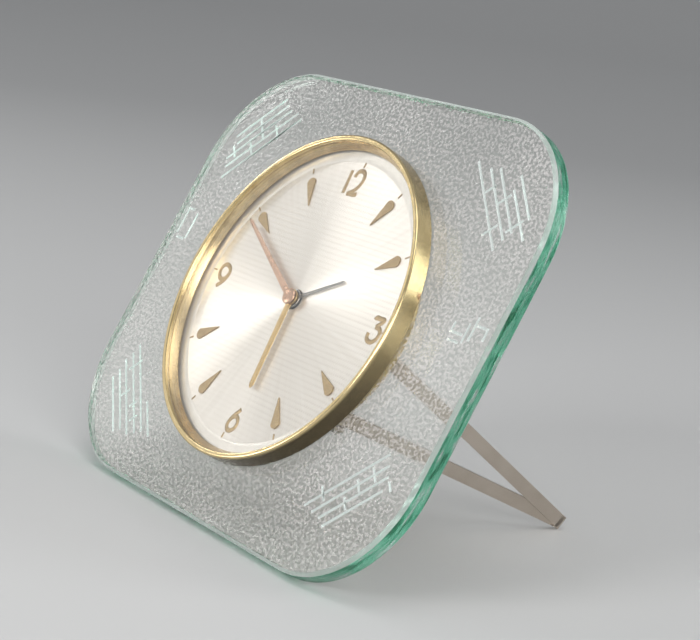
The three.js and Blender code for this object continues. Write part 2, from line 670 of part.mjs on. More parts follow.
// Regulator: a small arm between frame and cover with its pin through the slot
const armHigh = backFrameLow - SEAT_GAP;
const armLow = armHigh - REGULATOR_ARM_THICKNESS;
const armShape = new THREE.Shape();
armShape.absarc(0, 0, REGULATOR_BOSS_RADIUS, Math.PI, 2 * Math.PI, false);
armShape.absarc(0, REGULATOR_REACH, REGULATOR_END_RADIUS, 0, Math.PI, false);
add('regulator', join(
  slab(armShape, armLow, armHigh, 10),
  disc(0, REGULATOR_REACH, REGULATOR_PIN_RADIUS, coverBack - REGULATOR_PIN_PROUD, armHigh, 16),
), STEEL).position.set(...onCase('regulator'), 0);

// Alarm button: a plunger with a domed head outside the cover
const buttonHeadHigh = coverBack - BUTTON_TRAVEL - SEAT_GAP;
const buttonHeadLow = buttonHeadHigh - BUTTON_HEAD_HEIGHT;
const buttonStemHigh = coverHigh + BUTTON_STEM_INSIDE;
add('alarm_button', turned([
  [0, buttonHeadLow],
  [BUTTON_HEAD_RADIUS - BUTTON_DOME, buttonHeadLow],
  [BUTTON_HEAD_RADIUS, buttonHeadLow + BUTTON_DOME],
  [BUTTON_HEAD_RADIUS, buttonHeadHigh],
  [BUTTON_RADIUS, buttonHeadHigh],
  [BUTTON_RADIUS, buttonStemHigh],
  [0, buttonStemHigh],
], 20), STEEL).position.set(...onCase('button'), 0);

// Hinge: its axis lies across the cover and carries the bracket, pin and strut.
// In the hinge's frame y runs along the pin, -x towards the folded strut and z out of the dial.
const eyeRadius = PIN_RADIUS + RUN_GAP + EYE_WALL;
const bracketHigh = coverBack - SEAT_GAP;
const bracketLow = bracketHigh - BRACKET_THICKNESS;
const hingeZ = bracketLow - RUN_GAP - eyeRadius;
const legSpread = ofCase(CASE_RATIOS.hingeSpread);
const hinge = new THREE.Group();
hinge.position.set(...onCase('hinge'), hingeZ);
hinge.rotation.z = -radians(HINGE_TILT_DEG);
clock.add(hinge);

// Bracket: a riveted base with an ear outside each leg of the strut
const earInner = legSpread / 2 + STRUT_WIDTH / 2 + RUN_GAP;
const earOuter = earInner + EAR_THICKNESS;
const earShape = new THREE.Shape();
earShape.absarc(0, 0, eyeRadius, Math.PI, 2 * Math.PI, false);
earShape.lineTo(eyeRadius, bracketLow - hingeZ + BRACKET_THICKNESS / 2);
earShape.lineTo(-eyeRadius, bracketLow - hingeZ + BRACKET_THICKNESS / 2);
earShape.closePath();
earShape.holes.push(circle(0, 0, PIN_RADIUS + RUN_GAP));
const ear = slab(earShape, -earOuter, -earInner, 8).rotateX(Math.PI / 2);
const baseShape = roundedRectangle(BRACKET_WIDTH, 2 * earOuter, BRACKET_CORNER);
const rivets = [-1, 1].map((side) => disc(
  0, side * legSpread / 4, BRACKET_RIVET_RADIUS,
  bracketLow - BRACKET_RIVET_HEIGHT - hingeZ, bracketLow + BRACKET_THICKNESS / 2 - hingeZ, 16));
add('strut_bracket', join(
  slab(baseShape, bracketLow - hingeZ, bracketHigh - hingeZ, 4),
  ear,
  ear.clone().translate(0, -earInner - earOuter, 0),
  ...rivets,
), STRUT_METAL, hinge);

// Pin with a head at each end
const pinEnd = earOuter + RUN_GAP;
add('strut_pin', turned([
  [0, -pinEnd - PIN_HEAD_HEIGHT],
  [PIN_HEAD_RADIUS, -pinEnd - PIN_HEAD_HEIGHT],
  [PIN_HEAD_RADIUS, -pinEnd],
  [PIN_RADIUS, -pinEnd],
  [PIN_RADIUS, pinEnd],
  [PIN_HEAD_RADIUS, pinEnd],
  [PIN_HEAD_RADIUS, pinEnd + PIN_HEAD_HEIGHT],
  [0, pinEnd + PIN_HEAD_HEIGHT],
], 16).rotateX(-Math.PI / 2), STEEL, hinge);

// Strut: one flat strip folded over at the foot, each end rolled into an eye.
// Drawn flat, as it lies folded against the back: the foot is at -x.
const foot = [-STRUT_REACH, -STRUT_FOOT_DROP];
function leg(side) {
  const start = [0, side * legSpread / 2];
  const along = Math.hypot(foot[0] - start[0], foot[1] - start[1]);
  const heading = Math.atan2(foot[1] - start[1], foot[0] - start[0]);
  const root = PIN_RADIUS + RUN_GAP;
  const strip = new THREE.Shape();
  strip.moveTo(root, -STRUT_WIDTH / 2);
  strip.lineTo(along, -STRUT_WIDTH / 2);
  strip.absarc(along, 0, STRUT_WIDTH / 2, -Math.PI / 2, Math.PI / 2, false);
  strip.lineTo(root, STRUT_WIDTH / 2);
  strip.closePath();
  const low = side > 0 ? -STRUT_STRIP : 0;
  return slab(strip, low, low + STRUT_STRIP, 8).rotateZ(heading).translate(...start, 0);
}
function eye(side) {
  return tube(eyeRadius, PIN_RADIUS + RUN_GAP, -STRUT_WIDTH / 2, STRUT_WIDTH / 2, 20)
    .rotateX(Math.PI / 2)
    .translate(0, side * legSpread / 2, 0);
}
const fold = disc(foot[0], foot[1], STRUT_WIDTH / 2, -STRUT_STRIP, STRUT_STRIP, 16);
const pinBore = disc(0, 0, PIN_RADIUS + RUN_GAP, -legSpread, legSpread, 20).rotateX(Math.PI / 2);
const strutFlat = geometryOf([leg(-1), eye(1), eye(-1), fold]
  .reduce((body, piece) => body.add(solid(piece)), solid(leg(1)))
  .subtract(solid(pinBore)));
const strut = add('strut', strutFlat, STRUT_METAL, hinge);
strut.rotation.y = -radians(OPEN_ANGLE_DEG);

// Lean the clock back until the plate's lower edge and the strut's foot stand at one height
const part = new THREE.Group();
part.add(clock);
const extent = (piece) => new THREE.Box3().setFromObject(piece, true);
const plate = clock.getObjectByName('glass_plate');
let leanLow = 0;
let leanHigh = Math.PI / 3;
for (let step = 0; step < LEAN_STEPS; step += 1) {
  const lean = (leanLow + leanHigh) / 2;
  clock.rotation.x = Math.PI / 2 - lean;
  part.updateMatrixWorld(true);
  if (extent(strut).min.z > extent(plate).min.z) {
    leanLow = lean;
  } else {
    leanHigh = lean;
  }
}

// Stand it on z = 0, centred front to back
const box = extent(part);
clock.position.set(0, -(box.min.y + box.max.y) / 2, -box.min.z);

export default part;
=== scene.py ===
"""Strut alarm clock: a brass-bezelled dial in a thick glass plate that leans back on a folding strut."""
import json
import math

import bpy
from mathutils import Matrix, Vector


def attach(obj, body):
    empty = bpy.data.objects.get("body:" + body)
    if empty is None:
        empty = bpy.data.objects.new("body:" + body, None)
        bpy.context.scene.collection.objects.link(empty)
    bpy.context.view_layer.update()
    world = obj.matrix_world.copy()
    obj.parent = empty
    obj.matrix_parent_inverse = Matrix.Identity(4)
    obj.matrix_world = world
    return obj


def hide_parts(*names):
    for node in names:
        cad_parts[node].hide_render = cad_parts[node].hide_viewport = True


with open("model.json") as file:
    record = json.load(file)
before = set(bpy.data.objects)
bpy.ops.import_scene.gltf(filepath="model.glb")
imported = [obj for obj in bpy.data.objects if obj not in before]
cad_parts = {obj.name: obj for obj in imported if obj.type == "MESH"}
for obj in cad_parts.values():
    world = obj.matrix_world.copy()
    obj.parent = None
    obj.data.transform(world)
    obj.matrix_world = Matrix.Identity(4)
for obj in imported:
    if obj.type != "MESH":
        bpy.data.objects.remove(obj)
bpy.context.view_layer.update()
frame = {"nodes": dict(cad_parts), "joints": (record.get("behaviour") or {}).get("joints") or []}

# Everything is modelled in millimetres in the dial's own frame: x to the right of the dial, y up the
# dial and z out of it, with the plate's front face at z = 0. DIAL then leans each piece into place.
MM = 0.001
JOINTS = {joint["name"]: joint for joint in frame["joints"]}
HAND_AXIS_HEIGHT = 2
outward = -Vector(JOINTS["minute_hand_turn"]["axis"]).normalized()
rightward = Vector((1, 0, 0))
upward = outward.cross(rightward)
dial_centre = Vector(JOINTS["minute_hand_turn"]["pos_m"]) - HAND_AXIS_HEIGHT * MM * outward
LEAN = Matrix((rightward, upward, outward)).transposed().to_4x4()
DIAL = Matrix.Translation(dial_centre) @ LEAN @ Matrix.Scale(MM, 4)

# Sizes, as in the part's source
PLATE_WIDTH, PLATE_HEIGHT, PLATE_THICKNESS = 130, 108, 5
PLATE_CORNER, PLATE_ARRIS, PLATE_HOLE = 28, 0.8, 26.3
BEZEL_RADIUS, BEZEL_INNER, BEZEL_TOP, SEAT_GAP = 40, 38.7, 5.1, 0.3
DIAL_RADIUS, DIAL_EDGE, DIAL_STEP = 38.4, 37, 35
DIAL_FACE, DIAL_STEP_TOP, DIAL_BACK = 1.4, 1.54, 1.0
REVEAL_LOW = 2.1
CRYSTAL_LOW, CRYSTAL_HIGH = 3.9, 4.6
MARKER_INNER, MARKER_OUTER, MARKER_WIDTH, MARKER_TOP = 24.8, 32.4, 2.8, 1.7
DIAL_HOLE = 2.5
CASE_RADIUS, CASE_INNER, CASE_BACK = 26, 25, -13
COVER_TOP, COVER_BACK, COVER_INNER, COVER_OUTER = -13.3, -14.3, 26.3, 27
COVER_SKIRT = -9
WASHER_RADIUS, WASHER_LOW, WASHER_HIGH = 31, -5.9, -5.3
NUT_RADIUS, NUT_LOW, NUT_HIGH = 30.4, -8.2, -6.2
NUT_NOTCH_WIDTH, NUT_NOTCH_DEPTH = 4, 1.6
TIME_KEY, ALARM_KEY = (-10.998, 11.492), (10.998, 11.492)
TIME_KNOB, ALARM_KNOB = (-8.008, -19.006), (6.006, -8.996)
REGULATOR, BUTTON = (0, 13.988), (21.502, 5.512)
HINGE_AT, HINGE_HEIGHT, HINGE_TILT, OPEN_ANGLE = (16.151, -10.4), -17.7, 12.7, 94
LEG_SPREAD, FOOT = 16.796, (-67.8, -3.45)
STRIP_WIDTH, STRIP_THICKNESS, EYE_RADIUS, EYE_BORE = 3, 0.8, 2, 1.2
PIN_RADIUS, PIN_HEAD_RADIUS, PIN_HEAD = 0.9, 1.6, 0.6
EAR_INNER, EAR_THICKNESS = 10.198, 1
BRACKET_LOW, BRACKET_HIGH, BRACKET_WIDTH = -15.4, -14.6, 5.6
MINUTE_ANGLE, HOUR_ANGLE, ALARM_ANGLE = 295.8, 174.65, 61.5


def polar(radius, degrees):
    """The point (x, y) at this radius and this angle from the dial's x axis."""
    return radius * math.cos(math.radians(degrees)), radius * math.sin(math.radians(degrees))


def arc(radius, start, end, steps, middle=(0, 0)):
    """Points along an arc about its middle from one angle to another, with both of its ends."""
    angles = [start + (end - start) * step / steps for step in range(steps + 1)]
    return [(middle[0] + x, middle[1] + y) for x, y in (polar(radius, angle) for angle in angles)]


# Workshop: each step leaves one piece, selected and active. Corners nearer than DOUBLED are one corner.
DOUBLED = 1e-4


def add(kind, **size):
    """A primitive of Blender's."""
    getattr(bpy.ops.mesh, f"primitive_{kind}_add")(**size)
    return bpy.context.active_object


def take(*pieces):
    """Selects these pieces alone and makes the first one active."""
    bpy.ops.object.select_all(action="DESELECT")
    for piece in pieces:
        piece.select_set(True)
    bpy.context.view_layer.objects.active = pieces[0]
    return pieces[0]


def edit(piece):
    """Opens a piece in edit mode with all of it selected."""
    take(piece)
    bpy.ops.object.mode_set(mode="EDIT")
    bpy.ops.mesh.select_all(action="SELECT")


def leave():
    bpy.ops.object.mode_set(mode="OBJECT")


def tidy(piece):
    """Merges doubled corners, drops loose edges and turns all faces outwards."""
    edit(piece)
    bpy.ops.mesh.remove_doubles(threshold=DOUBLED)
    bpy.ops.mesh.delete_loose()
    bpy.ops.mesh.select_all(action="SELECT")
    bpy.ops.mesh.normals_make_consistent(inside=False)
    leave()
    return piece


def spun(section, steps=192):
    """A ring turned about the dial's axis from the corners (radius, height) of its section."""
    ring = add("circle", vertices=len(section), radius=1)
    for vertex, (radius, height) in zip(ring.data.vertices, section):
        vertex.co = (radius, 0, height)
    edit(ring)
    bpy.ops.mesh.spin(steps=steps, angle=math.tau, center=(0, 0, 0), axis=(0, 0, 1))
    leave()
    return tidy(ring)


def sleeve(inner, outer, low, high, steps=192):
    """A plain ring, or a round bar where the inner radius is 0."""
    return spun([(inner, low), (outer, low), (outer, high), (inner, high)], steps)


def slab(outline, low, high):
    """A flat plate with this outline, from low to high."""
    plate = add("circle", vertices=len(outline), radius=1)
    for vertex, (x, y) in zip(plate.data.vertices, outline):
        vertex.co = (x, y, low)
    edit(plate)
    bpy.ops.mesh.edge_face_add()
    bpy.ops.mesh.extrude_region_move(TRANSFORM_OT_translate={"value": (0, 0, high - low)})
    leave()
    return tidy(plate)


def apply(piece, kind, **settings):
    """Adds a modifier with these settings and applies it."""
    take(piece)
    modifier = piece.modifiers.new(kind.lower(), kind)
    for name, value in settings.items():
        setattr(modifier, name, value)
    bpy.ops.object.modifier_apply(modifier=modifier.name)
    return piece


def eased(piece, width, segments=2, angle=35):
    """Rounds every edge that is sharper than the angle."""
    return apply(piece, "BEVEL", width=width, segments=segments, limit_method="ANGLE",
                 angle_limit=math.radians(angle))


def cut(piece, *cutters, crossing=False):
    """Cuts the cutters away from a piece. A cutter that passes through itself is said to be crossing."""
    for cutter in cutters:
        apply(piece, "BOOLEAN", operation="DIFFERENCE", solver="EXACT", object=cutter, use_self=crossing)
        bpy.data.objects.remove(cutter)
    return take(piece)


def joined(*pieces):
    """One piece made of several."""
    take(*pieces)
    if len(pieces) > 1:
        bpy.ops.object.join()
    return bpy.context.active_object


def moved(piece, matrix):
    """Moves a piece's mesh and leaves its origin where it is."""
    piece.matrix_world = matrix @ piece.matrix_world
    take(piece)
    bpy.ops.object.transform_apply(location=True, rotation=True, scale=True)
    return piece


def shifted(piece, x, y, z=0):
    return moved(piece, Matrix.Translation((x, y, z)))


def turned(piece, degrees, axis="Z"):
    return moved(piece, Matrix.Rotation(math.radians(degrees), 4, axis))


def copied(piece):
    """A second piece with its own mesh."""
    copy = piece.copy()
    copy.data = piece.data.copy()
    bpy.context.collection.objects.link(copy)
    return copy


def paired(piece, reach):
    """A piece and its copy, this far to each side along y."""
    return [shifted(copied(piece), 0, reach), shifted(piece, 0, -reach)]


def set_round(piece, angles):
    """Sets one piece and its copies round the dial's axis."""
    first, *others = angles
    copies = [turned(copied(piece), angle) for angle in reversed(others)]
    return [*copies, turned(piece, first)]


def fitted(piece, name, body, slot, finish, *stands_for, smooth=32):
    """Names a finished piece, leans it into place and fixes it to what carries it."""
    piece.name = name
    piece.data.name = name
    if finish:
        piece.data.materials.clear()
        piece.data.materials.append(finish)
    take(piece)
    bpy.ops.object.shade_smooth_by_angle(angle=math.radians(smooth))
    moved(piece, DIAL)
    apply(piece, "WEIGHTED_NORMAL", keep_sharp=True)
    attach(piece, body)
    if stands_for:
        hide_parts(*stands_for)
    return piece


# Finishes. A step is a shader node whose inputs are numbers, colours or other nodes' outputs.
class Finish:
    """A procedural finish, read in millimetres in the dial's frame."""

    def __init__(self, name):
        self.material = bpy.data.materials.new(f"{name}_finish")
        self.material.use_nodes = True
        self.tree = self.material.node_tree
        self.shader = self.tree.nodes["Principled BSDF"]
        self.output = self.tree.nodes["Material Output"]
        coordinates = self.step("ShaderNodeTexCoord").outputs["Object"]
        mapping = self.step("ShaderNodeMapping", Vector=coordinates)
        mapping.vector_type = "TEXTURE"
        mapping.inputs["Location"].default_value = dial_centre
        mapping.inputs["Rotation"].default_value = LEAN.to_euler()
        mapping.inputs["Scale"].default_value = (MM, MM, MM)
        self.place = mapping.outputs["Vector"]

    def step(self, kind, **inputs):
        node = self.tree.nodes.new(kind)
        for name, value in inputs.items():
            self.give(node.inputs[name], value)
        return node

    def give(self, socket, value):
        if isinstance(value, bpy.types.NodeSocket):
            self.tree.links.new(value, socket)
        else:
            socket.default_value = value

    def set(self, **inputs):
        for name, value in inputs.items():
            self.give(self.shader.inputs[name.replace("_", " ")], value)

    def math(self, operation, *values):
        node = self.tree.nodes.new("ShaderNodeMath")
        node.operation = operation
        for socket, value in zip(node.inputs, values):
            self.give(socket, value)
        return node.outputs[0]

    def noise(self, scale, detail=2.0, rough=0.5, at=None, stretch=(1, 1, 1)):
        vector = at or self.place
        if stretch != (1, 1, 1):
            node = self.step("ShaderNodeMapping", Vector=vector)
            node.inputs["Scale"].default_value = stretch
            vector = node.outputs["Vector"]
        return self.step("ShaderNodeTexNoise", Vector=vector, Scale=scale, Detail=detail,
                         Roughness=rough).outputs["Fac"]

    def ramp(self, value, *stops):
        node = self.step("ShaderNodeValToRGB", Fac=value)
        elements = node.color_ramp.elements
        while len(elements) < len(stops):
            elements.new(0.5)
        for element, (position, colour) in zip(elements, stops):
            element.position = position
            element.color = (*colour, 1) if len(colour) == 3 else colour
        return node.outputs["Color"]

    def mix(self, share, first, second):
        node = self.tree.nodes.new("ShaderNodeMix")
        node.data_type = "RGBA"
        self.give(node.inputs["Factor"], share)
        self.give(node.inputs[6], first)
        self.give(node.inputs[7], second)
        return node.outputs[2]

    def span(self, value, low, high, lowest=0.0, highest=1.0):
        node = self.step("ShaderNodeMapRange", Value=value)
        node.inputs["From Min"].default_value = lowest
        node.inputs["From Max"].default_value = highest
        node.inputs["To Min"].default_value = low
        node.inputs["To Max"].default_value = high
        return node.outputs["Result"]

    def bump(self, height, distance, strength, **before):
        """Unevenness of this depth in metres, on top of any normal that was given before."""
        return self.step("ShaderNodeBump", Height=height, Distance=distance, Strength=strength,
                         **before).outputs["Normal"]

    def parts(self):
        """The place's x, y and z."""
        return self.step("ShaderNodeSeparateXYZ", Vector=self.place).outputs

    def ring_place(self):
        """Distance from the dial's axis, angle round it and height above the plate."""
        x, y, z = self.parts()
        radius = self.math("SQRT", self.math("ADD", self.math("MULTIPLY", x, x), self.math("MULTIPLY", y, y)))
        return radius, self.math("ARCTAN2", y, x), z

    def vector(self, x, y, z):
        return self.step("ShaderNodeCombineXYZ", X=x, Y=y, Z=z).outputs["Vector"]


# In millimetres: how far out along the painted reflection's way the brown starts and is full, and the
# heights below the rim between which it fades out. The brown is a painted dark reflection on the lower
# wall of the bezel, on one side.
PAINTED_REFLECTION_REACH, PAINTED_REFLECTION_HEIGHT = (18.0, 37.0), (4.1, 4.9)
# The brown of the painted dark reflection, and the copper of worn spots
PAINTED_REFLECTION_BROWN, BARE_COPPER = (0.16, 0.127, 0.08, 1), (0.30, 0.15, 0.09, 1)
# A worn spot is bare out to its core and ends at its edge. Turned metal has fine rings that break up
# along the way round.
WORN_CORE, WORN_EDGE = 0.9, 1.4
RINGS_PER_MM, RINGS_BREAK = 14.0, 0.8


def metal(name, light, dark, rough, scale=0.35, grain=0.04, rings=False, worn=(), painted_reflection_way=None):
    """Lacquered or plated metal: two close tones, cloudy gloss, fine marks of this grain in millimetres,
    spots worn down to copper and, where the bezel faces the given way, a painted dark reflection in brown
    on its lower wall."""
    finish = Finish(name)
    cloud = finish.noise(scale, 4, 0.6)
    tone = finish.ramp(cloud, (0.3, dark), (0.7, light))
    # Painted dark reflection: brown laid over the lower part of the wall towards one side, where the wall
    # mirrors dark ground
    if painted_reflection_way:
        x, y, height = finish.parts()
        reach = finish.math("ADD", finish.math("MULTIPLY", x, painted_reflection_way[0]),
                            finish.math("MULTIPLY", y, painted_reflection_way[1]))
        uneven = finish.math("MULTIPLY_ADD", cloud, 6.0, reach)
        share = finish.math("MULTIPLY", finish.span(uneven, 0.0, 1.0, *PAINTED_REFLECTION_REACH),
                            finish.span(height, 1.0, 0.0, *PAINTED_REFLECTION_HEIGHT))
        tone = finish.mix(share, tone, PAINTED_REFLECTION_BROWN)
    for spot in worn:
        gap = finish.step("ShaderNodeVectorMath", Vector=finish.place)
        gap.operation = "DISTANCE"
        gap.inputs[1].default_value = spot
        ragged = finish.math("ADD", gap.outputs["Value"], finish.math("MULTIPLY", finish.noise(1.8, 3), 0.9))
        tone = finish.mix(finish.span(ragged, 0.75, 0.0, WORN_CORE, WORN_EDGE), tone, BARE_COPPER)
    finish.set(Base_Color=tone, Metallic=1.0)
    if rings:
        radius, angle, height = finish.ring_place()
        marks = finish.noise(1.0, 3, 0.6, at=finish.vector(
            finish.math("MULTIPLY", radius, RINGS_PER_MM), finish.math("MULTIPLY", height, RINGS_PER_MM),
            finish.math("MULTIPLY", angle, RINGS_BREAK)))
    else:
        marks = finish.noise(7.0, 3, 0.7, stretch=(1, 0.2, 1))
    wear = finish.math("MULTIPLY", marks, cloud)
    finish.set(Roughness=finish.span(wear, *rough, 0.1, 0.45))
    finish.set(Normal=finish.bump(marks, grain * MM, 0.5))
    return finish.material


# The bezel's brown low on its wall towards the lower right is a painted dark reflection
BEZEL_BRASS = metal("bezel_brass", (0.76, 0.61, 0.34), (0.68, 0.53, 0.28), (0.12, 0.26), grain=0.02,
                    rings=True, worn=[(38.7, 10.2, 0.7), (14.9, -37.1, 0.6), (-33.0, 22.6, 1.2)],
                    painted_reflection_way=(0.60, -0.80))
REVEAL_GILT = metal("reveal_gilt", (0.72, 0.56, 0.30), (0.47, 0.34, 0.17), (0.2, 0.36), scale=0.11,
                    grain=0.02, rings=True)
ROSE_GILT = metal("rose_gilt", (0.58, 0.39, 0.28), (0.51, 0.33, 0.23), (0.24, 0.36))
HAND_GILT = metal("hand_gilt", (0.62, 0.45, 0.21), (0.55, 0.38, 0.17), (0.24, 0.36))
DARK_STEEL = metal("dark_steel", (0.42, 0.41, 0.40), (0.34, 0.335, 0.33), (0.26, 0.4))
CASE_BRASS = metal("case_brass", (0.66, 0.52, 0.27), (0.55, 0.42, 0.2), (0.25, 0.42), rings=True)
MOVEMENT_BRASS = metal("movement_brass", (0.62, 0.48, 0.22), (0.52, 0.39, 0.17), (0.25, 0.4))
PLAIN_STEEL = metal("plain_steel", (0.62, 0.60, 0.56), (0.48, 0.46, 0.43), (0.22, 0.38))
STRUT_STEEL = metal("strut_steel", (0.60, 0.53, 0.46), (0.54, 0.47, 0.40), (0.26, 0.4), scale=0.12)


def printed_gold():
    """Numerals and markers: satin gold leaf, a little uneven."""
    finish = Finish("dial_gold")
    cloud = finish.noise(1.6, 3, 0.6)
    finish.set(Base_Color=finish.ramp(cloud, (0.3, (0.30, 0.21, 0.10)), (0.75, (0.46, 0.34, 0.18))),
               Metallic=0.85, Roughness=finish.span(cloud, 0.34, 0.5))
    return finish.material


DIAL_GOLD = printed_gold()
# Millimetres from dot to dot in a row and from row to row, how dark a dot is, and how fine the brushing is
DOT_PITCH, ROW_PITCH, DOT_SHARE, BRUSHING = 0.8, 1.25, 0.42, 22.0


def silvered_dial():
    """Satin silver brushed outwards from the centre, with fine dotted rows across the face."""
    finish = Finish("dial_silver")
    radius, angle, _ = finish.ring_place()
    rays = finish.noise(1.0, 3, 0.65, at=finish.vector(
        finish.math("MULTIPLY", finish.math("COSINE", angle), BRUSHING),
        finish.math("MULTIPLY", finish.math("SINE", angle), BRUSHING), 0.0))
    x, y, _ = finish.parts()
    across = finish.math("SINE", finish.math("MULTIPLY", x, math.tau / DOT_PITCH))
    along = finish.math("SINE", finish.math("MULTIPLY", y, math.tau / ROW_PITCH))
    dots = finish.math("MULTIPLY", finish.span(across, 0.0, 1.0, -0.2, 0.6),
                       finish.span(along, 0.0, 1.0, -0.1, 0.7))
    patches = finish.span(finish.noise(0.05, 1), 0.35, 1.0, 0.42, 0.58)
    on_face = finish.math("LESS_THAN", radius, DIAL_STEP - 0.5)
    dots = finish.math("MULTIPLY", finish.math("MULTIPLY", dots, patches), on_face)
    silver = finish.mix(finish.math("MULTIPLY", dots, DOT_SHARE),
                        finish.ramp(rays, (0.25, (0.76, 0.715, 0.64)), (0.75, (0.85, 0.81, 0.74))),
                        (0.50, 0.45, 0.37, 1))
    finish.set(Base_Color=silver, Metallic=0.82, Roughness=0.32, Anisotropic=0.8)
    finish.set(Normal=finish.bump(dots, 0.03 * MM, 0.5))
    tangent = finish.tree.nodes.new("ShaderNodeTangent")
    tangent.direction_type = "UV_MAP"
    tangent.uv_map = "brushing"
    finish.give(finish.shader.inputs["Tangent"], tangent.outputs["Tangent"])
    return finish.material


DIAL_SILVER = silvered_dial()


def ring_white():
    """The smooth outer ring of the dial, a little glossier than its face."""
    finish = Finish("dial_ring")
    cloud = finish.noise(0.5, 3)
    finish.set(Base_Color=finish.ramp(cloud, (0.3, (0.72, 0.685, 0.615)), (0.7, (0.78, 0.745, 0.675))),
               Roughness=finish.span(cloud, 0.28, 0.36), Metallic=0.75)
    return finish.material


DIAL_RING = ring_white()


def clear_crystal():
    """Thin clear glass over the dial: it lets light straight through and mirrors a little."""
    finish = Finish("crystal")
    facing = finish.step("ShaderNodeLayerWeight", Blend=0.5).outputs["Facing"]
    shine = finish.math("MULTIPLY_ADD", finish.math("POWER", facing, 5.0), 0.96, 0.04)
    smear = finish.noise(0.25, 4, 0.6)
    finish.set(Base_Color=(1, 1, 1, 1), Metallic=1.0, Roughness=finish.span(smear, 0.01, 0.05), Alpha=shine)
    return finish.material


CRYSTAL = clear_crystal()


# The whole plate is one glass, so that light keeps its green cast only inside it. The faces carry how
# rippled, how wavy, how frosted and how white they are, and the glass reads that.
SURFACE_MARKS = ("ripple", "wave", "frost", "white")
SURFACES = {
    "front": (1.0, 0.0, 0.0, 0.0),
    "back": (0.15, 0.0, 0.0, 0.0),
    "edge": (0.0, 1.0, 0.27, 0.0),
    "arris": (0.0, 0.3, 0.36, 0.5),
    "cut": (0.0, 0.0, 0.56, 1.0),
}
# Depths of the ripple in the rolled front and of the waves in the ground edge, and the glass's own green
RIPPLE_DEPTH, WAVE_DEPTH = 0.0006 * MM, 0.4 * MM
GLASS_GREEN, GLASS_DENSITY = (0.05, 0.93, 0.60, 1), 17


def plate_glass():
    """Thick glass: a rolled front with worm-like ripples, a polished edge streaked with painted dark bands
    and painted highlights, a ground arris and matt cuts.
    """
    finish = Finish("plate_glass")

    def share(name):
        mark = finish.tree.nodes.new("ShaderNodeAttribute")
        mark.attribute_type = "GEOMETRY"
        mark.attribute_name = name
        return mark.outputs["Fac"]

    ripple_share, wave_share, frost, white = (share(name) for name in SURFACE_MARKS)
    ripple = finish.step("ShaderNodeTexNoise", Vector=finish.place, Scale=1.35, Detail=0.6, Roughness=0.5,
                         Distortion=0.1).outputs["Fac"]
    specks = finish.span(ripple, 0.1, 1.0, 0.42, 0.61)
    patches = finish.noise(0.035, 2)
    dust = finish.math("MULTIPLY", finish.math("MULTIPLY", specks, ripple_share),
                       finish.span(patches, 0.17, 0.27, 0.35, 0.65))
    wave = finish.noise(0.55, 3, 0.6, stretch=(0.22, 0.22, 2.0))
    grit = finish.noise(5.0, 4, 0.7)
    matt = finish.math("MULTIPLY", frost, finish.span(grit, 0.8, 1.0, 0.3, 0.7))
    # The edge's own mint green, streaked along the waves from dark green to almost white: painted dark bands
    # and painted highlights
    green = finish.ramp(wave, (0.37, (0.02, 0.30, 0.14)), (0.43, (0.09, 0.66, 0.38)),
                        (0.48, (0.24, 0.90, 0.59)), (0.57, (0.32, 0.94, 0.65)), (0.62, (0.82, 1.0, 0.93)))
    chalk = finish.ramp(grit, (0.3, (0.79, 0.86, 0.83)), (0.65, (0.91, 0.945, 0.93)))
    tint = finish.mix(white, finish.mix(wave_share, (0.97, 0.905, 0.89, 1), green), chalk)
    clear = finish.math("SUBTRACT", finish.math("SUBTRACT", 1.0, dust), matt)
    rough = finish.math("ADD", finish.math("MULTIPLY", matt, 0.6), finish.math("MULTIPLY", dust, 0.6))
    finish.set(Base_Color=tint, IOR=1.5, Transmission_Weight=finish.math("MAXIMUM", clear, 0.0),
               Roughness=finish.math("ADD", rough, 0.03))
    rolled = finish.bump(ripple, RIPPLE_DEPTH, ripple_share)
    finish.set(Normal=finish.bump(wave, WAVE_DEPTH, wave_share, Normal=rolled))
    depth = finish.tree.nodes.new("ShaderNodeVolumeAbsorption")
    depth.inputs["Color"].default_value = GLASS_GREEN
    depth.inputs["Density"].default_value = GLASS_DENSITY
    finish.tree.links.new(depth.outputs["Volume"], finish.output.inputs["Volume"])
    return finish.material


PLATE_GLASS = plate_glass()


def fibre():
    finish = Finish("fibre")
    grain = finish.noise(3.0, 5, 0.7)
    finish.set(Base_Color=finish.ramp(grain, (0.3, (0.035, 0.025, 0.018)), (0.7, (0.07, 0.05, 0.037))),
               Roughness=finish.span(grain, 0.75, 0.95))
    finish.set(Normal=finish.bump(grain, 0.05 * MM, 0.5))
    return finish.material


FIBRE = fibre()


# Glass plate
CUT_HALF_WIDTH, CUT_DEPTH, CUT_RUNOUT = 0.576, 0.3, 1.0
# A cutter stands this far above the plate's face and reaches this far past each end of its cut
CUTTER_TOP, CUTTER_PAST = 0.2, 0.15
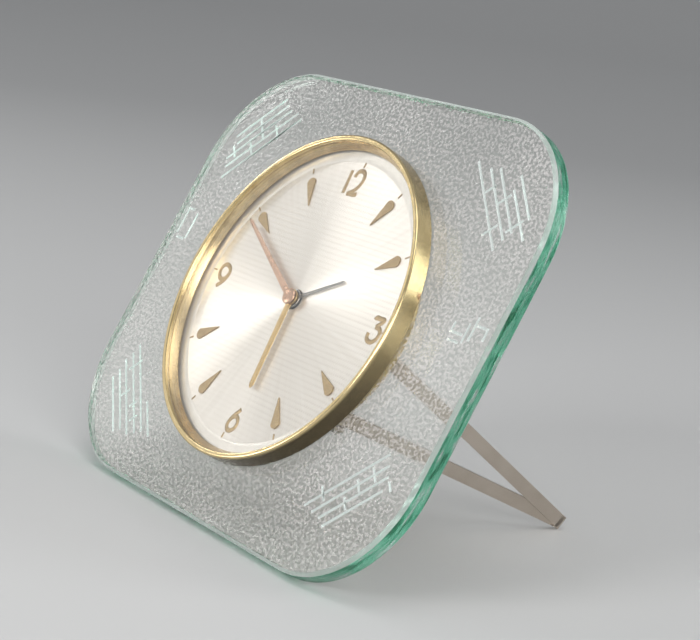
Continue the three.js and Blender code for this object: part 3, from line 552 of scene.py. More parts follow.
# Cut lines in each corner, in millimetres from the plate's centre: long cuts lie across the corner's
# diagonal as (out, from, to), and short ones along it as (across, from, to)
CORNER_CUTS = {
    (-1, 1): ([(63.5, -1.7, 16.9), (61.1, -1.8, 17.0), (58.8, -2.6, 20.9), (56.4, -4.7, 21.5),
               (53.9, -5.6, 23.1)],
              [(17.7, 57.0, 61.5), (12.0, 53.9, 59.9), (7.8, 55.8, 63.3), (3.1, 52.9, 58.2)]),
    (-1, -1): ([(62.6, -2.2, 15.1), (60.1, -2.9, 16.1), (57.8, -5.9, 17.8), (55.2, -6.8, 18.2),
                (52.7, -7.6, 19.3), (50.4, -10.4, 0.8)],
               [(13.5, 51.4, 57.2), (7.2, 56.1, 60.1), (2.4, 53.7, 57.2), (-1.8, 53.7, 57.2)]),
    (1, 1): ([(54.2, -6.1, 19.9), (57.0, -2.1, 18.9), (59.4, -0.4, 18.6), (61.8, 7.4, 22.2),
              (64.2, 5.0, 18.0)],
             [(13.9, 51.6, 56.8), (8.6, 56.4, 61.4), (3.6, 53.6, 58.0), (17.0, 57.6, 63.2)]),
    (1, -1): ([(53.4, -3.0, 22.2), (56.0, -1.2, 21.6), (58.4, 0.6, 21.1), (60.8, 1.3, 19.1)],
              [(2.8, 50.9, 55.5), (8.5, 56.7, 60.6), (12.6, 54.4, 58.3), (17.1, 53.7, 58.2),
               (20.8, 59.2, 62.4)]),
}
# Small marks at mid height: upright cuts as (x, from, to) and level ones as (y, from, to)
UPRIGHT_SIDE_CUTS = [(-60.2, 5.0, 13.0), (-55.6, 4.2, 12.0), (52.1, 5.4, 8.4), (56.6, 3.8, 9.0),
                     (58.3, 4.6, 10.8), (62.3, 5.6, 9.2)]
LEVEL_SIDE_CUTS = [(4.4, -60.0, -56.0), (12.2, -60.0, -57.6), (5.8, 51.4, 56.2), (4.0, 51.8, 56.1),
                   (8.6, 58.4, 62.2)]


def cut_line(place, start, end, upright=False):
    """A cutter for one cut along x at y = place: a blade that runs out at both ends. Upright, x and y
    change over."""
    half, middle = (end - start) / 2, (start + end) / 2
    cutter = add("cube", size=1)
    for vertex in cutter.data.vertices:
        end_way, side_way = math.copysign(1, vertex.co.x), math.copysign(1, vertex.co.y)
        if vertex.co.z > 0:
            vertex.co = (end_way * (half + CUTTER_PAST), side_way * CUT_HALF_WIDTH, CUTTER_TOP)
        else:
            vertex.co = (end_way * (half - CUT_RUNOUT), 0, -CUT_DEPTH)
    tidy(cutter)
    return shifted(turned(cutter, 90), place, middle) if upright else shifted(cutter, middle, place)


def cut_group(level_cuts, upright_cuts, placing=Matrix()):
    """One piece made of the cutters for a group of cuts."""
    cutters = [cut_line(*line) for line in level_cuts]
    cutters += [cut_line(*line, upright=True) for line in upright_cuts]
    return tidy(moved(joined(*cutters), placing))


def corner_placing(side, up):
    """Turns a group made with its x across the corner's diagonal, so that its y points out to the corner."""
    outwards = Vector((side, up, 0)).normalized()
    across = Vector((side, -up, 0)).normalized()
    return Matrix((across, outwards, Vector((0, 0, 1)))).transposed().to_4x4()


# A face of the plate is flat above the first share of its normal that points out of the dial, and
# upright below the second
FLAT, UPRIGHT = 0.98, 0.2


def make_plate():
    plate = add("plane", size=1)
    edit(plate)
    bpy.ops.transform.resize(value=(PLATE_WIDTH, PLATE_HEIGHT, 1))
    bpy.ops.mesh.bevel(offset=PLATE_CORNER, offset_type="OFFSET", segments=36, affect="VERTICES", profile=0.5)
    leave()
    apply(plate, "SOLIDIFY", thickness=PLATE_THICKNESS, offset=-1)
    eased(plate, PLATE_ARRIS, 1)
    cut(plate, add("cylinder", vertices=128, radius=PLATE_HOLE, depth=3 * PLATE_THICKNESS))
    groups = [cut_group(*cuts, corner_placing(*corner)) for corner, cuts in CORNER_CUTS.items()]
    groups.append(cut_group(LEVEL_SIDE_CUTS, UPRIGHT_SIDE_CUTS))
    cut(plate, joined(*groups), crossing=True)

    def past_edge(x, y):
        """How far a point lies outside the plate's outline, below zero inside it."""
        past_x, past_y = abs(x) - PLATE_WIDTH / 2, abs(y) - PLATE_HEIGHT / 2
        past_corner = math.hypot(max(past_x + PLATE_CORNER, 0), max(past_y + PLATE_CORNER, 0)) - PLATE_CORNER
        return max(past_x, past_y, past_corner)

    def surface(face):
        """What kind of surface a face is part of, from its tilt and its place."""
        tilt, (x, y, z) = face.normal.z, face.center
        if tilt > FLAT:
            return "front" if z > -0.001 else "cut"
        if tilt < -FLAT:
            return "back"
        near_front = math.hypot(x, y) > PLATE_HOLE + 1 and z > -2 * CUT_DEPTH and tilt > UPRIGHT
        if near_front and past_edge(x, y) < -PLATE_ARRIS * 1.1:
            return "cut"
        return "arris" if abs(tilt) > UPRIGHT else "edge"

    kinds = [SURFACES[surface(face)] for face in plate.data.polygons]
    for name, values in zip(SURFACE_MARKS, zip(*kinds)):
        plate.data.attributes.new(name, "FLOAT", "FACE").data.foreach_set("value", values)
    return fitted(plate, "glass_plate_cut", "clock", "plate_glass", PLATE_GLASS, "glass_plate", smooth=20)


make_plate()

# Bezel: a spun drum with a rolled front rim
RIM, SEAT_EASE, LIP_EASE = 0.5, 0.15, 0.3
rim_curve = arc(RIM, 0, 90, 6, (BEZEL_RADIUS - RIM, BEZEL_TOP - RIM))
bezel = spun([(BEZEL_INNER, SEAT_GAP), (BEZEL_RADIUS - SEAT_EASE, SEAT_GAP),
              (BEZEL_RADIUS, SEAT_GAP + SEAT_EASE), *rim_curve, (BEZEL_INNER + LIP_EASE, BEZEL_TOP),
              (BEZEL_INNER + 0.3 * LIP_EASE, BEZEL_TOP - 0.3 * LIP_EASE),
              (BEZEL_INNER, BEZEL_TOP - LIP_EASE)])
fitted(bezel, "bezel_drum", "clock", "bezel_brass", BEZEL_BRASS, "bezel")

# The reveal, a sloped gilt ring under the crystal. Both fit inside the bezel with a small gap.
RIM_REACH, REVEAL_TOP = BEZEL_INNER - 0.04, CRYSTAL_LOW - 0.03
reveal = spun([(DIAL_EDGE + 0.45, REVEAL_LOW), (RIM_REACH, REVEAL_LOW), (RIM_REACH, REVEAL_TOP),
               (RIM_REACH - 0.1, REVEAL_TOP), (DIAL_RADIUS - 0.3, CRYSTAL_LOW - 0.6),
               (DIAL_EDGE + 0.5, REVEAL_LOW + 0.2)])
fitted(reveal, "reveal_gilt", "clock", "gilt", REVEAL_GILT, "reveal_ring")

crystal = spun([(0, CRYSTAL_LOW), (RIM_REACH, CRYSTAL_LOW), (RIM_REACH, CRYSTAL_HIGH - 0.1),
                (RIM_REACH - 0.1, CRYSTAL_HIGH), (0, CRYSTAL_HIGH)], 128)
fitted(crystal, "crystal_glass", "clock", "crystal", CRYSTAL, "crystal")

# Dial: a sunk face inside a raised ring. The rise between them is given as (radius, share of its height).
rise = [(DIAL_STEP + 1.3, 1.0), (DIAL_STEP + 0.9, 0.93), (DIAL_STEP + 0.5, 0.72), (DIAL_STEP + 0.25, 0.42),
        (DIAL_STEP, 0.16), (DIAL_STEP - 0.2, 0.04), (DIAL_STEP - 0.4, 0.0)]
face = spun([(DIAL_HOLE, DIAL_BACK), (DIAL_RADIUS, DIAL_BACK), (DIAL_RADIUS, DIAL_STEP_TOP),
             *[(radius, DIAL_FACE + share * (DIAL_STEP_TOP - DIAL_FACE)) for radius, share in rise],
             (DIAL_HOLE, DIAL_FACE)])
# The brushing runs round the axis: u is the angle, kept whole across each face, and v the radius
brushing = face.data.uv_layers.new(name="brushing")
for polygon in face.data.polygons:
    middle = math.atan2(polygon.center.y, polygon.center.x)
    for corner in polygon.loop_indices:
        x, y, _ = face.data.vertices[face.data.loops[corner].vertex_index].co
        turn = math.remainder(math.atan2(y, x) - middle, math.tau) + middle
        brushing.data[corner].uv = (turn / math.tau, math.hypot(x, y) / DIAL_RADIUS)
face.data.materials.append(DIAL_SILVER)
face.data.materials.append(DIAL_RING)
for polygon in face.data.polygons:
    polygon.material_index = int(math.hypot(polygon.center.x, polygon.center.y) > DIAL_STEP - 0.1)
fitted(face, "dial_face", "clock", "dial_silver", None, "dial")


def teardrop(sweep=78, steps=14):
    """An hour marker's outline along x: a round outer end that tapers to a narrow inner one."""
    half = MARKER_WIDTH / 2
    end = arc(half, -sweep, sweep, steps, (MARKER_OUTER - half, 0))
    point = [(MARKER_INNER + 0.3, 0.11), (MARKER_INNER, 0.03)]
    return end + point + [(x, -y) for x, y in reversed(point)]


def bar(start, end, half, low, high):
    """A straight bar along x."""
    return slab([(start, -half), (end, -half), (end, half), (start, half)], low, high)


MARKED_HOURS = (1, 2, 4, 5, 7, 8, 10, 11)
TICK_INNER, TICK_OUTER, TICK_HALF, TICK_HEIGHT = 33.7, 35.02, 0.16, 0.14
marker = eased(slab(teardrop(), DIAL_FACE, MARKER_TOP), 0.12)
tick = bar(TICK_INNER, TICK_OUTER, TICK_HALF, DIAL_FACE, DIAL_FACE + TICK_HEIGHT)
markers = set_round(marker, [90 - 30 * hour for hour in MARKED_HOURS]) + set_round(tick, range(0, 360, 30))
fitted(joined(*markers), "dial_markers", "clock", "gilt", DIAL_GOLD)


STROKE_WIDTH, STROKE_HEIGHT = 1.15, 0.16


def stroke(points):
    """One brush stroke of a numeral, as a flattened round cord along the points."""
    bpy.ops.curve.primitive_nurbs_path_add()
    path = bpy.context.active_object
    path.data.splines.clear()
    spline = path.data.splines.new("NURBS")
    spline.points.add(len(points) - 1)
    for point, (x, y) in zip(spline.points, points):
        point.co = (x, y, 0, 1)
    spline.use_endpoint_u = True
    spline.order_u = 3
    spline.resolution_u = 6
    path.data.bevel_depth = STROKE_WIDTH / 2
    path.data.bevel_resolution = 3
    path.data.use_fill_caps = True
    bpy.ops.object.convert(target="MESH")
    flatten = Matrix.Scale(2 * STROKE_HEIGHT / STROKE_WIDTH, 4, (0, 0, 1))
    return moved(bpy.context.active_object, Matrix.Translation((0, 0, DIAL_FACE + 0.02)) @ flatten)


# The strokes of 12, 3, 6 and 9, in that order
NUMERALS = [
    [(-3.4, 32.5), (-3.1, 29.6), (-2.8, 26.8)],
    [(-1.4, 31.1), (-1.35, 32.2), (-0.5, 32.9), (0.9, 32.95), (1.9, 32.1), (2.1, 30.7), (1.7, 29.3),
     (0.7, 28.1), (-0.4, 27.4), (-1.3, 26.9)],
    [(-1.3, 26.9), (-0.3, 27.2), (1.0, 26.95), (2.2, 27.4)],
    [(29.7, 2.2), (29.9, 2.9), (31.0, 2.7), (33.1, 2.9), (32.3, 1.8), (31.1, 0.8)],
    [(31.1, 0.8), (32.6, 0.8), (33.4, -0.3), (33.2, -1.7), (32.1, -2.8), (30.7, -2.7), (29.7, -2.0),
     (29.8, -0.9)],
    [(1.8, -27.5), (0.8, -28.7), (-0.2, -30.2), (-0.6, -31.6), (0.0, -32.7), (1.2, -33.0), (2.4, -32.3),
     (2.9, -31.1), (2.5, -29.8), (1.4, -29.2), (0.2, -29.7), (-0.4, -30.7)],
    [(-28.3, 0.4), (-28.9, -1.1), (-30.1, -1.8), (-31.4, -1.5), (-32.3, -0.3), (-32.3, 1.0), (-31.5, 2.0),
     (-30.1, 2.0), (-28.9, 1.4), (-28.3, 0.3), (-28.7, -1.4), (-29.8, -2.7), (-31.0, -3.6)],
]
numerals = joined(*[stroke(points) for points in NUMERALS])
fitted(numerals, "dial_numerals", "clock", "gilt", DIAL_GOLD, smooth=60)


# Hands
BLADE_POINT = 0.06


def blade(length, low, root, tip, point, edge, ridge):
    """A hand's blade along x: straight sides that narrow from its root to its tip, a short point beyond
    the tip, and a ridge down the middle that stands higher than the edges."""
    body = add("grid", x_subdivisions=2, y_subdivisions=2, size=2)
    shape = {-1: (0, root / 2), 0: (length - point, tip / 2), 1: (length, BLADE_POINT)}
    for vertex in body.data.vertices:
        along, side = round(vertex.co.x), round(vertex.co.y)
        reach, half = shape[along]
        vertex.co = (reach, side * half, low + (edge if side else ridge))
    edit(body)
    bpy.ops.mesh.extrude_region_move(TRANSFORM_OT_translate={"value": (0, 0, 0)})
    bpy.ops.transform.resize(value=(1, 1, 0), center_override=(0, 0, low))
    leave()
    return tidy(body)


def disc(radius, low, high, ease=0.08, inner=0.0, steps=48):
    """A disc with eased edges, or a ring where it has an inner radius."""
    return eased(sleeve(inner, radius, low, high, steps), ease)


# Each hand has its blade, a hub and a pipe that goes down through the dial, all inside one another
PIPE_LOW, STEM_LOW = -0.2, -7.4
ALARM_LOW, ALARM_HIGH, ALARM_BORE = 1.75, 2.0, 1.8
ALARM_BAR_SPREAD, ALARM_BAR_TOE, ALARM_TIP_AT = 0.31, 0.6, 14.4
alarm_bar = blade(15.2, ALARM_LOW, root=0.34, tip=0.26, point=0.5, edge=0.12, ridge=0.22)
alarm_bars = [shifted(turned(one, -side * ALARM_BAR_TOE), 0.6, side * ALARM_BAR_SPREAD)
              for side, one in ((1, copied(alarm_bar)), (-1, alarm_bar))]
alarm_tip = blade(1.6, ALARM_LOW, root=0.62, tip=0.45, point=0.8, edge=0.12, ridge=0.22)
shifted(alarm_tip, ALARM_TIP_AT, 0)
alarm = joined(*alarm_bars, alarm_tip, disc(2.3, ALARM_LOW, ALARM_HIGH, inner=ALARM_BORE),
               disc(2.15, PIPE_LOW, ALARM_HIGH, inner=ALARM_BORE))
fitted(turned(alarm, 90 - ALARM_ANGLE), "alarm_pointer", "alarm_hand", "dark_steel", DARK_STEEL, "alarm_hand")

HOUR_LOW, HOUR_HIGH, HOUR_BORE = 2.35, 2.7, 1.15
hour = joined(blade(22.4, HOUR_LOW, root=1.85, tip=1.5, point=0.7, edge=0.16, ridge=0.35),
              disc(1.95, HOUR_LOW, HOUR_HIGH, inner=HOUR_BORE),
              disc(1.55, PIPE_LOW, HOUR_HIGH, inner=HOUR_BORE))
fitted(turned(hour, 90 - HOUR_ANGLE), "hour_pointer", "hour_hand", "gilt", HAND_GILT, "hour_hand")

MINUTE_LOW, CAP_RADIUS = 3.05, 1.85
cap = spun([(0, MINUTE_LOW), (CAP_RADIUS, MINUTE_LOW), (CAP_RADIUS, 3.45), (1.72, 3.6), (1.3, 3.72),
            (0.7, 3.79), (0, 3.8)], 48)
minute = joined(blade(32.2, MINUTE_LOW, root=1.75, tip=0.9, point=1.2, edge=0.13, ridge=0.3), cap,
                disc(0.9, STEM_LOW, MINUTE_LOW + 0.05, steps=32))
fitted(turned(minute, 90 - MINUTE_ANGLE), "minute_pointer", "minute_hand", "rose_gilt", ROSE_GILT,
       "minute_hand")

# Case, washer and ring nut behind the plate
FLANGE_TOP = SEAT_GAP + 0.5
tube = spun([(CASE_INNER, CASE_BACK), (CASE_RADIUS, CASE_BACK), (CASE_RADIUS, SEAT_GAP),
             (DIAL_RADIUS, SEAT_GAP), (DIAL_RADIUS, FLANGE_TOP), (CASE_INNER, FLANGE_TOP)])
fitted(eased(tube, 0.1), "case_drum", "clock", "case_brass", CASE_BRASS, "case_tube")
washer = sleeve(COVER_INNER, WASHER_RADIUS, WASHER_LOW, WASHER_HIGH)
fitted(eased(washer, 0.12), "fibre_washer", "clock", "fibre", FIBRE, "plate_washer")
nut = sleeve(COVER_INNER, NUT_RADIUS, NUT_LOW, NUT_HIGH)
notch = bar(NUT_RADIUS - NUT_NOTCH_DEPTH, NUT_RADIUS + NUT_NOTCH_DEPTH, NUT_NOTCH_WIDTH / 2,
            NUT_LOW - 1, NUT_HIGH + 1)
cut(nut, *set_round(notch, (45, 135, 225, 315)))
fitted(eased(nut, 0.2), "clamp_nut", "clock", "case_brass", CASE_BRASS, "ring_nut")

# Back cover
GROOVE_INNER, GROOVE_OUTER, GROOVE_EASE, GROOVE_DEPTH = 25.3, 25.85, 0.15, 0.2
groove_floor = COVER_BACK + GROOVE_DEPTH
cover = spun([(0, COVER_BACK), (GROOVE_INNER, COVER_BACK), (GROOVE_INNER + GROOVE_EASE, groove_floor),
              (GROOVE_OUTER - GROOVE_EASE, groove_floor), (GROOVE_OUTER, COVER_BACK),
              (COVER_OUTER - 0.7, COVER_BACK), (COVER_OUTER - 0.2, COVER_BACK + 0.2),
              (COVER_OUTER, COVER_BACK + 0.7), (COVER_OUTER, COVER_SKIRT), (COVER_INNER, COVER_SKIRT),
              (COVER_INNER, COVER_TOP), (0, COVER_TOP)])
SCREW_CIRCLE = 23.6
SCREWS = [polar(SCREW_CIRCLE, degrees) for degrees in (55, 175, 275)]
KEY_HOLE, KNOB_HOLE, SCREW_HOLE = 1.8, 1.5, 1.0
HOLES = {TIME_KEY: KEY_HOLE, ALARM_KEY: KEY_HOLE, TIME_KNOB: KNOB_HOLE, ALARM_KNOB: KNOB_HOLE,
         BUTTON: KEY_HOLE, **{place: SCREW_HOLE for place in SCREWS}}
for place, radius in HOLES.items():
    cut(cover, add("cylinder", vertices=40, radius=radius, depth=6, location=(*place, COVER_TOP)))
SLOT_INNER, SLOT_OUTER, SLOT_START, SLOT_END = 5.9, 8.1, 66, 114
slot = arc(SLOT_OUTER, SLOT_START, SLOT_END, 12) + arc(SLOT_INNER, SLOT_END, SLOT_START, 12)
cut(cover, shifted(slab(slot, COVER_BACK - 1, COVER_TOP + 1), *REGULATOR))
STAMP_DEPTH = 0.18


def stamped(outline):
    """A cutter for a mark stamped into the back cover."""
    return slab(outline, COVER_BACK - 0.5, COVER_BACK + STAMP_DEPTH)


ARROW_RADIUS, ARROW_HALF, ARROW_HEAD_HALF, ARROW_HEAD_ANGLE = 5.4, 0.22, 0.85, 15


def turning_arrow(key, start, end):
    """A curved arrow beside a key that shows which way it turns."""
    way = 1 if end > start else -1
    shaft = arc(ARROW_RADIUS + ARROW_HALF, start, end, 12) + arc(ARROW_RADIUS - ARROW_HALF, end, start, 12)
    head = [polar(ARROW_RADIUS + ARROW_HEAD_HALF, end - way),
            polar(ARROW_RADIUS, end + ARROW_HEAD_ANGLE * way),
            polar(ARROW_RADIUS - ARROW_HEAD_HALF, end - way)]
    return shifted(joined(stamped(shaft), stamped(head)), *key)


graduation = stamped([(8.7, -0.11), (9.5, -0.11), (9.5, 0.11), (8.7, 0.11)])
scale = shifted(joined(*set_round(graduation, range(SLOT_START, SLOT_END + 1, 8))), *REGULATOR)
arrows = [turning_arrow(TIME_KEY, 190, 262), turning_arrow(ALARM_KEY, 350, 278)]
cut(cover, joined(*arrows, scale), crossing=True)
fitted(eased(cover, 0.08), "back_cap", "clock", "case_brass", CASE_BRASS, "back_cover")

# Screws of the back cover, each with its slot at an angle of its own
SCREW_TOP, SCREW_SEAT, SCREW_END = -15.4, -14.6, -12.8
SCREW_HEAD, SCREW_SHANK, SCREW_SLOT_HALF, SCREW_SLOT_DEPTH = 1.5, 0.7, 0.225, 0.4
screw = spun([(0, SCREW_TOP), (1.1, SCREW_TOP), (1.4, SCREW_TOP + 0.15), (SCREW_HEAD, SCREW_TOP + 0.35),
              (SCREW_HEAD, SCREW_SEAT), (SCREW_SHANK, SCREW_SEAT), (SCREW_SHANK, SCREW_END),
              (0, SCREW_END)], 40)
cut(screw, bar(-2, 2, SCREW_SLOT_HALF, SCREW_TOP - 0.4, SCREW_TOP + SCREW_SLOT_DEPTH))
screws = [screw, copied(screw), copied(screw)]
for number, (one, place, slot_angle) in enumerate(zip(screws, SCREWS, (25, 95, 165)), 1):
    fitted(shifted(turned(one, slot_angle), *place), f"slotted_screw_{number}", "clock", "plain_steel",
           PLAIN_STEEL, f"cover_screw_{number}")


# Winding keys
def bezier(start, first, second, end, steps=8):
    """Points along a cubic curve from its start up to, but without, its end."""
    points = []
    for step in range(steps):
        t = step / steps
        a, b, c, d = (1 - t) ** 3, 3 * t * (1 - t) ** 2, 3 * t * t * (1 - t), t ** 3
        points.append(tuple(a * p + b * q + c * r + d * s for p, q, r, s in zip(start, first, second, end)))
    return points


GRIP_HALF, GRIP_HEIGHT, GRIP_WAIST, GRIP_THICKNESS, GRIP_FOOT = 7, 6.5, 4, 1.5, -16.6


def key_grip():
    """The key's flat grip: two round ears with a dip between them."""
    half, top, waist = GRIP_HALF, GRIP_HEIGHT, GRIP_WAIST
    side, neck, dip = (half, top * 0.5), (waist * 0.4, top * 0.72), (0, top * 0.58)
    right = bezier((waist / 2, 0), (half * 0.6, 0), (half, top * 0.1), side)
    right += bezier(side, (half, top), (half * 0.45, top * 1.1), neck)
    right += bezier(neck, (waist * 0.2, top * 0.6), (waist * 0.1, top * 0.585), dip, 4)
    left = [(-x, y) for x, y in reversed(right)]
    grip = eased(slab([*right, dip, *left], -GRIP_THICKNESS / 2, GRIP_THICKNESS / 2), 0.35, 3)
    return turned(grip, -90, "X")


# A key's hub from its outer end inwards, with a groove round it, and the stem that enters the case
STEM_END, HUB_SEAT, HUB_RADIUS, HUB_STEM = -10.0, -14.6, 2.2, 1.5
hub = spun([(0, -17.2), (1.9, -17.2), (HUB_RADIUS, -16.9), (HUB_RADIUS, -16.1), (2.0, -15.95), (2.0, -15.75),
            (HUB_RADIUS, -15.6), (HUB_RADIUS, HUB_SEAT), (HUB_STEM, HUB_SEAT), (HUB_STEM, STEM_END),
            (0, STEM_END)], 48)
key = joined(shifted(key_grip(), 0, 0, GRIP_FOOT), hub)
for one, name, place, angle in ((copied(key), "time_key", TIME_KEY, 35), (key, "alarm_key", ALARM_KEY, -40)):
    fitted(shifted(turned(one, angle), *place), f"{name}_winder", name, "case_brass", CASE_BRASS, name)


# Setting knobs
KNOB_RADIUS, KNOB_FLUTES, FLUTE_DEPTH, KNOB_OUTER, KNOB_SEAT, KNOB_STEM = 4.2, 20, 0.35, -18.1, -15.5, 1.2
flutes = []
for angle in range(0, 360, 3):
    bite = (1 + math.cos(math.radians(KNOB_FLUTES * angle))) / 2
    flutes.append(polar(KNOB_RADIUS - FLUTE_DEPTH * bite, angle))
knob_head = eased(slab(flutes, KNOB_OUTER, KNOB_SEAT), 0.3, angle=50)
knob = joined(knob_head, sleeve(0, KNOB_STEM, KNOB_SEAT - 0.1, STEM_END, 32))
for one, name, place in ((copied(knob), "time_knob", TIME_KNOB), (knob, "alarm_knob", ALARM_KNOB)):
    fitted(shifted(one, *place), f"{name}_fluted", name, "case_brass", CASE_BRASS, name)

# Regulator and alarm button
ARM_LENGTH, ARM_LOW, ARM_HIGH, REGULATOR_PIN = 7, -12.1, -11.5, 0.8
arm_outline = arc(1.8, 180, 360, 12) + arc(1.1, 0, 180, 12, (0, ARM_LENGTH))
arm = eased(slab(arm_outline, ARM_LOW, ARM_HIGH), 0.1)
regulator_pin = shifted(disc(REGULATOR_PIN, -15.3, ARM_HIGH - 0.1, 0.15, steps=24), 0, ARM_LENGTH)
regulator = joined(arm, regulator_pin)
fitted(shifted(regulator, *REGULATOR), "regulator_arm", "regulator", "plain_steel", PLAIN_STEEL, "regulator")
BUTTON_HEAD, BUTTON_STEM, BUTTON_SEAT, BUTTON_END = 1.9, 1.5, -15.8, -12.9
button = spun([(0, -17.0), (0.9, -17.0), (1.4, -16.85), (1.75, -16.55), (BUTTON_HEAD, -16.2),
               (BUTTON_HEAD, BUTTON_SEAT), (BUTTON_STEM, BUTTON_SEAT), (BUTTON_STEM, BUTTON_END),
               (0, BUTTON_END)], 40)
fitted(shifted(button, *BUTTON), "alarm_plunger", "alarm_button", "plain_steel", PLAIN_STEEL, "alarm_button")

# Strut, bracket and pin, in the hinge's frame: y along the pin and -x towards the folded foot
HINGE = Matrix.Translation((*HINGE_AT, HINGE_HEIGHT)) @ Matrix.Rotation(-math.radians(HINGE_TILT), 4, "Z")
OPENED = HINGE @ Matrix.Rotation(-math.radians(OPEN_ANGLE), 4, "Y")
# The strip is a little wider than the part's, and its fold stops short of the part's foot
FOLD_RADIUS, FOLD_REACH, FOLD_ROOT = STRIP_THICKNESS, -0.55, -1.2
LEG_WIDTH = STRIP_WIDTH + 0.4
FOLD_HALF_WIDTH = LEG_WIDTH / 2 + 0.05
EYE_HALF_WIDTH, STRIP_EASE = 1.5, 0.12


def heading(side):
    """Where a leg starts at the pin, and the way from there to the foot."""
    start = Vector((0, side * LEG_SPREAD / 2))
    return start, Vector(FOOT) - start


def pointed(piece, way):
    """Turns a piece made along x so that it points this way."""
    return turned(piece, math.degrees(math.atan2(way.y, way.x)))


def leg(side):
    """One leg of the strip, from its eye to the fold, as a flat strip with eased edges."""
    start, way = heading(side)
    low = -STRIP_THICKNESS if side > 0 else 0
    strip = bar(EYE_BORE, way.length + FOLD_REACH, LEG_WIDTH / 2, low, low + STRIP_THICKNESS)
    return shifted(pointed(eased(strip, STRIP_EASE), way), *start)


def fold():
    """The bend where the strip turns back on itself: a half round across the strip."""
    middle = (heading(1)[1].normalized() + heading(-1)[1].normalized()).normalized()
    bend = [(FOLD_ROOT, -FOLD_RADIUS), *arc(FOLD_RADIUS, -90, 90, 18), (FOLD_ROOT, FOLD_RADIUS)]
    roll = slab(bend, -FOLD_HALF_WIDTH, FOLD_HALF_WIDTH)
    turned(eased(roll, STRIP_EASE, angle=50), 90, "X")
    return shifted(pointed(roll, middle), *(Vector(FOOT) + middle * FOLD_REACH))


eye = disc(EYE_RADIUS, -EYE_HALF_WIDTH, EYE_HALF_WIDTH, STRIP_EASE, EYE_BORE)
turned(eye, 90, "X")
strut = joined(leg(1), leg(-1), fold(), *paired(eye, LEG_SPREAD / 2))
fitted(moved(strut, OPENED), "folding_strut", "strut", "strut_steel", STRUT_STEEL, "strut")

# The bracket: two ears on a riveted base with round corners
BASE_CORNER = 1
base_low, base_high = BRACKET_LOW - HINGE_HEIGHT, BRACKET_HIGH - HINGE_HEIGHT
base_half = EAR_INNER + EAR_THICKNESS
ear_middle, ear_foot = EAR_INNER + EAR_THICKNESS / 2, base_low + 0.4
ear_outline = [*arc(EYE_RADIUS, 180, 360, 12), (EYE_RADIUS, ear_foot), (-EYE_RADIUS, ear_foot)]
ear = slab(ear_outline, -EAR_THICKNESS / 2, EAR_THICKNESS / 2)
cut(ear, add("cylinder", vertices=32, radius=EYE_BORE, depth=4))
turned(eased(ear, STRIP_EASE), 90, "X")
corner_x, corner_y = BRACKET_WIDTH / 2 - BASE_CORNER, base_half - BASE_CORNER
base_outline = []
for side, up, start in ((1, 1, 0), (-1, 1, 90), (-1, -1, 180), (1, -1, 270)):
    base_outline += arc(BASE_CORNER, start, start + 90, 6, (side * corner_x, up * corner_y))
base = eased(slab(base_outline, base_low, base_high), STRIP_EASE)
rivet = spun([(0, base_low - 0.5), (0.5, base_low - 0.46), (0.9, base_low - 0.3), (1.1, base_low),
              (1.1, base_low + 0.3), (0, base_low + 0.3)], 32)
bracket = joined(base, *paired(ear, ear_middle), *paired(rivet, LEG_SPREAD / 4))
fitted(moved(bracket, HINGE), "strut_hinge_bracket", "clock", "strut_steel", STRUT_STEEL, "strut_bracket")

pin_half = base_half + 0.3
pin_section = [(0, -pin_half - PIN_HEAD), (PIN_HEAD_RADIUS - 0.3, -pin_half - PIN_HEAD),
               (PIN_HEAD_RADIUS, -pin_half - 0.3), (PIN_HEAD_RADIUS, -pin_half), (PIN_RADIUS, -pin_half)]
pin_section += [(radius, -height) for radius, height in reversed(pin_section)]
pin = turned(spun(pin_section, 40), 90, "X")
fitted(moved(pin, HINGE), "hinge_pin", "clock", "plain_steel", PLAIN_STEEL, "strut_pin")

# Pieces of the movement keep their solids and take a real finish
for name in ("front_frame", "back_frame", "time_barrel", "alarm_barrel", "centre_wheel", "third_wheel",
             "escape_wheel", "balance", "pillar_1", "pillar_2", "pillar_3"):
    inner = frame["nodes"][name]
    inner.data.materials.clear()
    inner.data.materials.append(MOVEMENT_BRASS)


# Stage, in metres: a pale floor that curves up far away, soft light and the photograph's camera
FLOOR_CURVE = [(0, 0), (1.2, 0), (2.0, 0.06), (2.6, 0.3), (3.0, 0.8), (3.2, 1.6)]


def make_stage():
    floor = spun([*FLOOR_CURVE, (3.25, 1.6), (3.25, -0.05), (0, -0.05)], 96)
    floor.name = "floor"
    take(floor)
    bpy.ops.object.shade_smooth()
    material = bpy.data.materials.new("floor_pale")
    material.use_nodes = True
    shader = material.node_tree.nodes["Principled BSDF"]
    shader.inputs["Base Color"].default_value = (0.54, 0.54, 0.535, 1)
    shader.inputs["Roughness"].default_value = 0.75
    floor.data.materials.append(material)


def soft_light(name, place, target, size, power):
    """A round soft light that faces its target."""
    light = bpy.data.lights.new(name, "AREA")
    light.shape = "DISK"
    light.size = size
    light.energy = power
    lamp = bpy.data.objects.new(name, light)
    scene.collection.objects.link(lamp)
    lamp.location = place
    lamp.rotation_euler = (Vector(target) - Vector(place)).to_track_quat("-Z", "Y").to_euler()


def dial_way(distance, *way):
    """A place this far from the dial's middle, in a direction given in the dial's frame."""
    return dial_middle + distance * (LEAN @ Vector(way))


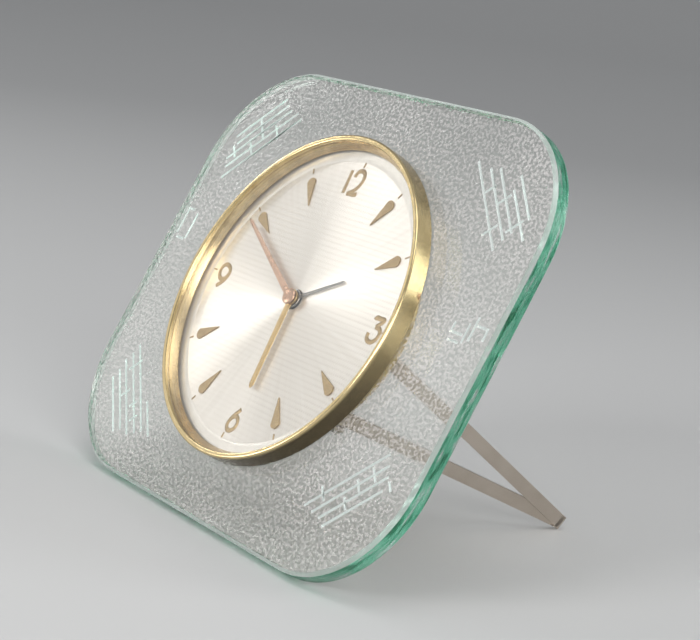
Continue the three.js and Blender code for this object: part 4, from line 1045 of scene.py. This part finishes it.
def make_sky():
    """A dim sky that is lighter overhead."""
    world = bpy.data.worlds.new("studio")
    world.use_nodes = True
    nodes, links = world.node_tree.nodes, world.node_tree.links
    height = nodes.new("ShaderNodeSeparateXYZ")
    links.new(nodes.new("ShaderNodeTexCoord").outputs["Generated"], height.inputs["Vector"])
    sky = nodes.new("ShaderNodeValToRGB")
    horizon, zenith = sky.color_ramp.elements
    horizon.position, horizon.color = 0.15, (0.30, 0.31, 0.33, 1)
    zenith.position, zenith.color = 0.9, (0.85, 0.87, 0.90, 1)
    links.new(height.outputs["Z"], sky.inputs["Fac"])
    links.new(sky.outputs["Color"], nodes["Background"].inputs["Color"])
    nodes["Background"].inputs["Strength"].default_value = 0.5
    scene.world = world


# The camera that was fitted to the photograph, in the dial's frame: its place in millimetres, its lens,
# and its three axes
CAMERA_PLACE, CAMERA_LENS, CAMERA_SENSOR = (364.8, -37.6, 260.5), 102.67, 36
CAMERA_AXES = ((0.5661, 0.4636, -0.6816), (-0.2187, 0.8817, 0.418), (0.7948, -0.0876, 0.6005))


def make_camera():
    data = bpy.data.cameras.new("camera")
    data.sensor_fit = "HORIZONTAL"
    data.sensor_width = CAMERA_SENSOR
    data.lens = CAMERA_LENS
    data.clip_start = 0.01
    camera = bpy.data.objects.new("camera", data)
    scene.collection.objects.link(camera)
    turn = (LEAN.to_3x3() @ Matrix(CAMERA_AXES).transposed()).to_4x4()
    camera.matrix_world = Matrix.Translation(DIAL @ Vector(CAMERA_PLACE)) @ turn
    scene.camera = camera


scene = bpy.context.scene
make_stage()
dial_middle = DIAL @ Vector((0, 0, 0))
room_middle = (0, 0, 0.05)
# Two small lights draw bright wedges on the brushed dial, and a large one is mirrored in the plate
soft_light("sunray_softbox", dial_way(0.9, -0.63, -0.3, 0.716), dial_middle, 0.3, 1.7)
soft_light("upper_sunray_softbox", dial_way(1.6, -0.878, 0.209, 0.431), dial_middle, 0.16, 0.95)
mirrored = dial_way(0.95011, -0.795, 0.088, 0.6) - Vector((0, 0, 0.06))
soft_light("mirror_softbox", mirrored, dial_middle, 0.85, 1.2)
soft_light("front_softbox", dial_middle + Vector((0.15, -1.0, 0.42)), dial_middle, 0.5, 6.5)
soft_light("top_softbox", (0.25, -0.2, 1.2), room_middle, 0.8, 3.5)
soft_light("back_softbox", (0.75, 0.8, 0.55), room_middle, 0.6, 3.5)
soft_light("right_softbox", (1.0, -0.35, 0.4), room_middle, 0.6, 6)
make_sky()
make_camera()
scene.view_settings.view_transform = "Standard"
# Light is followed far enough to cross the plate from edge to edge inside the glass
scene.cycles.max_bounces = 24
scene.cycles.transmission_bounces = 24
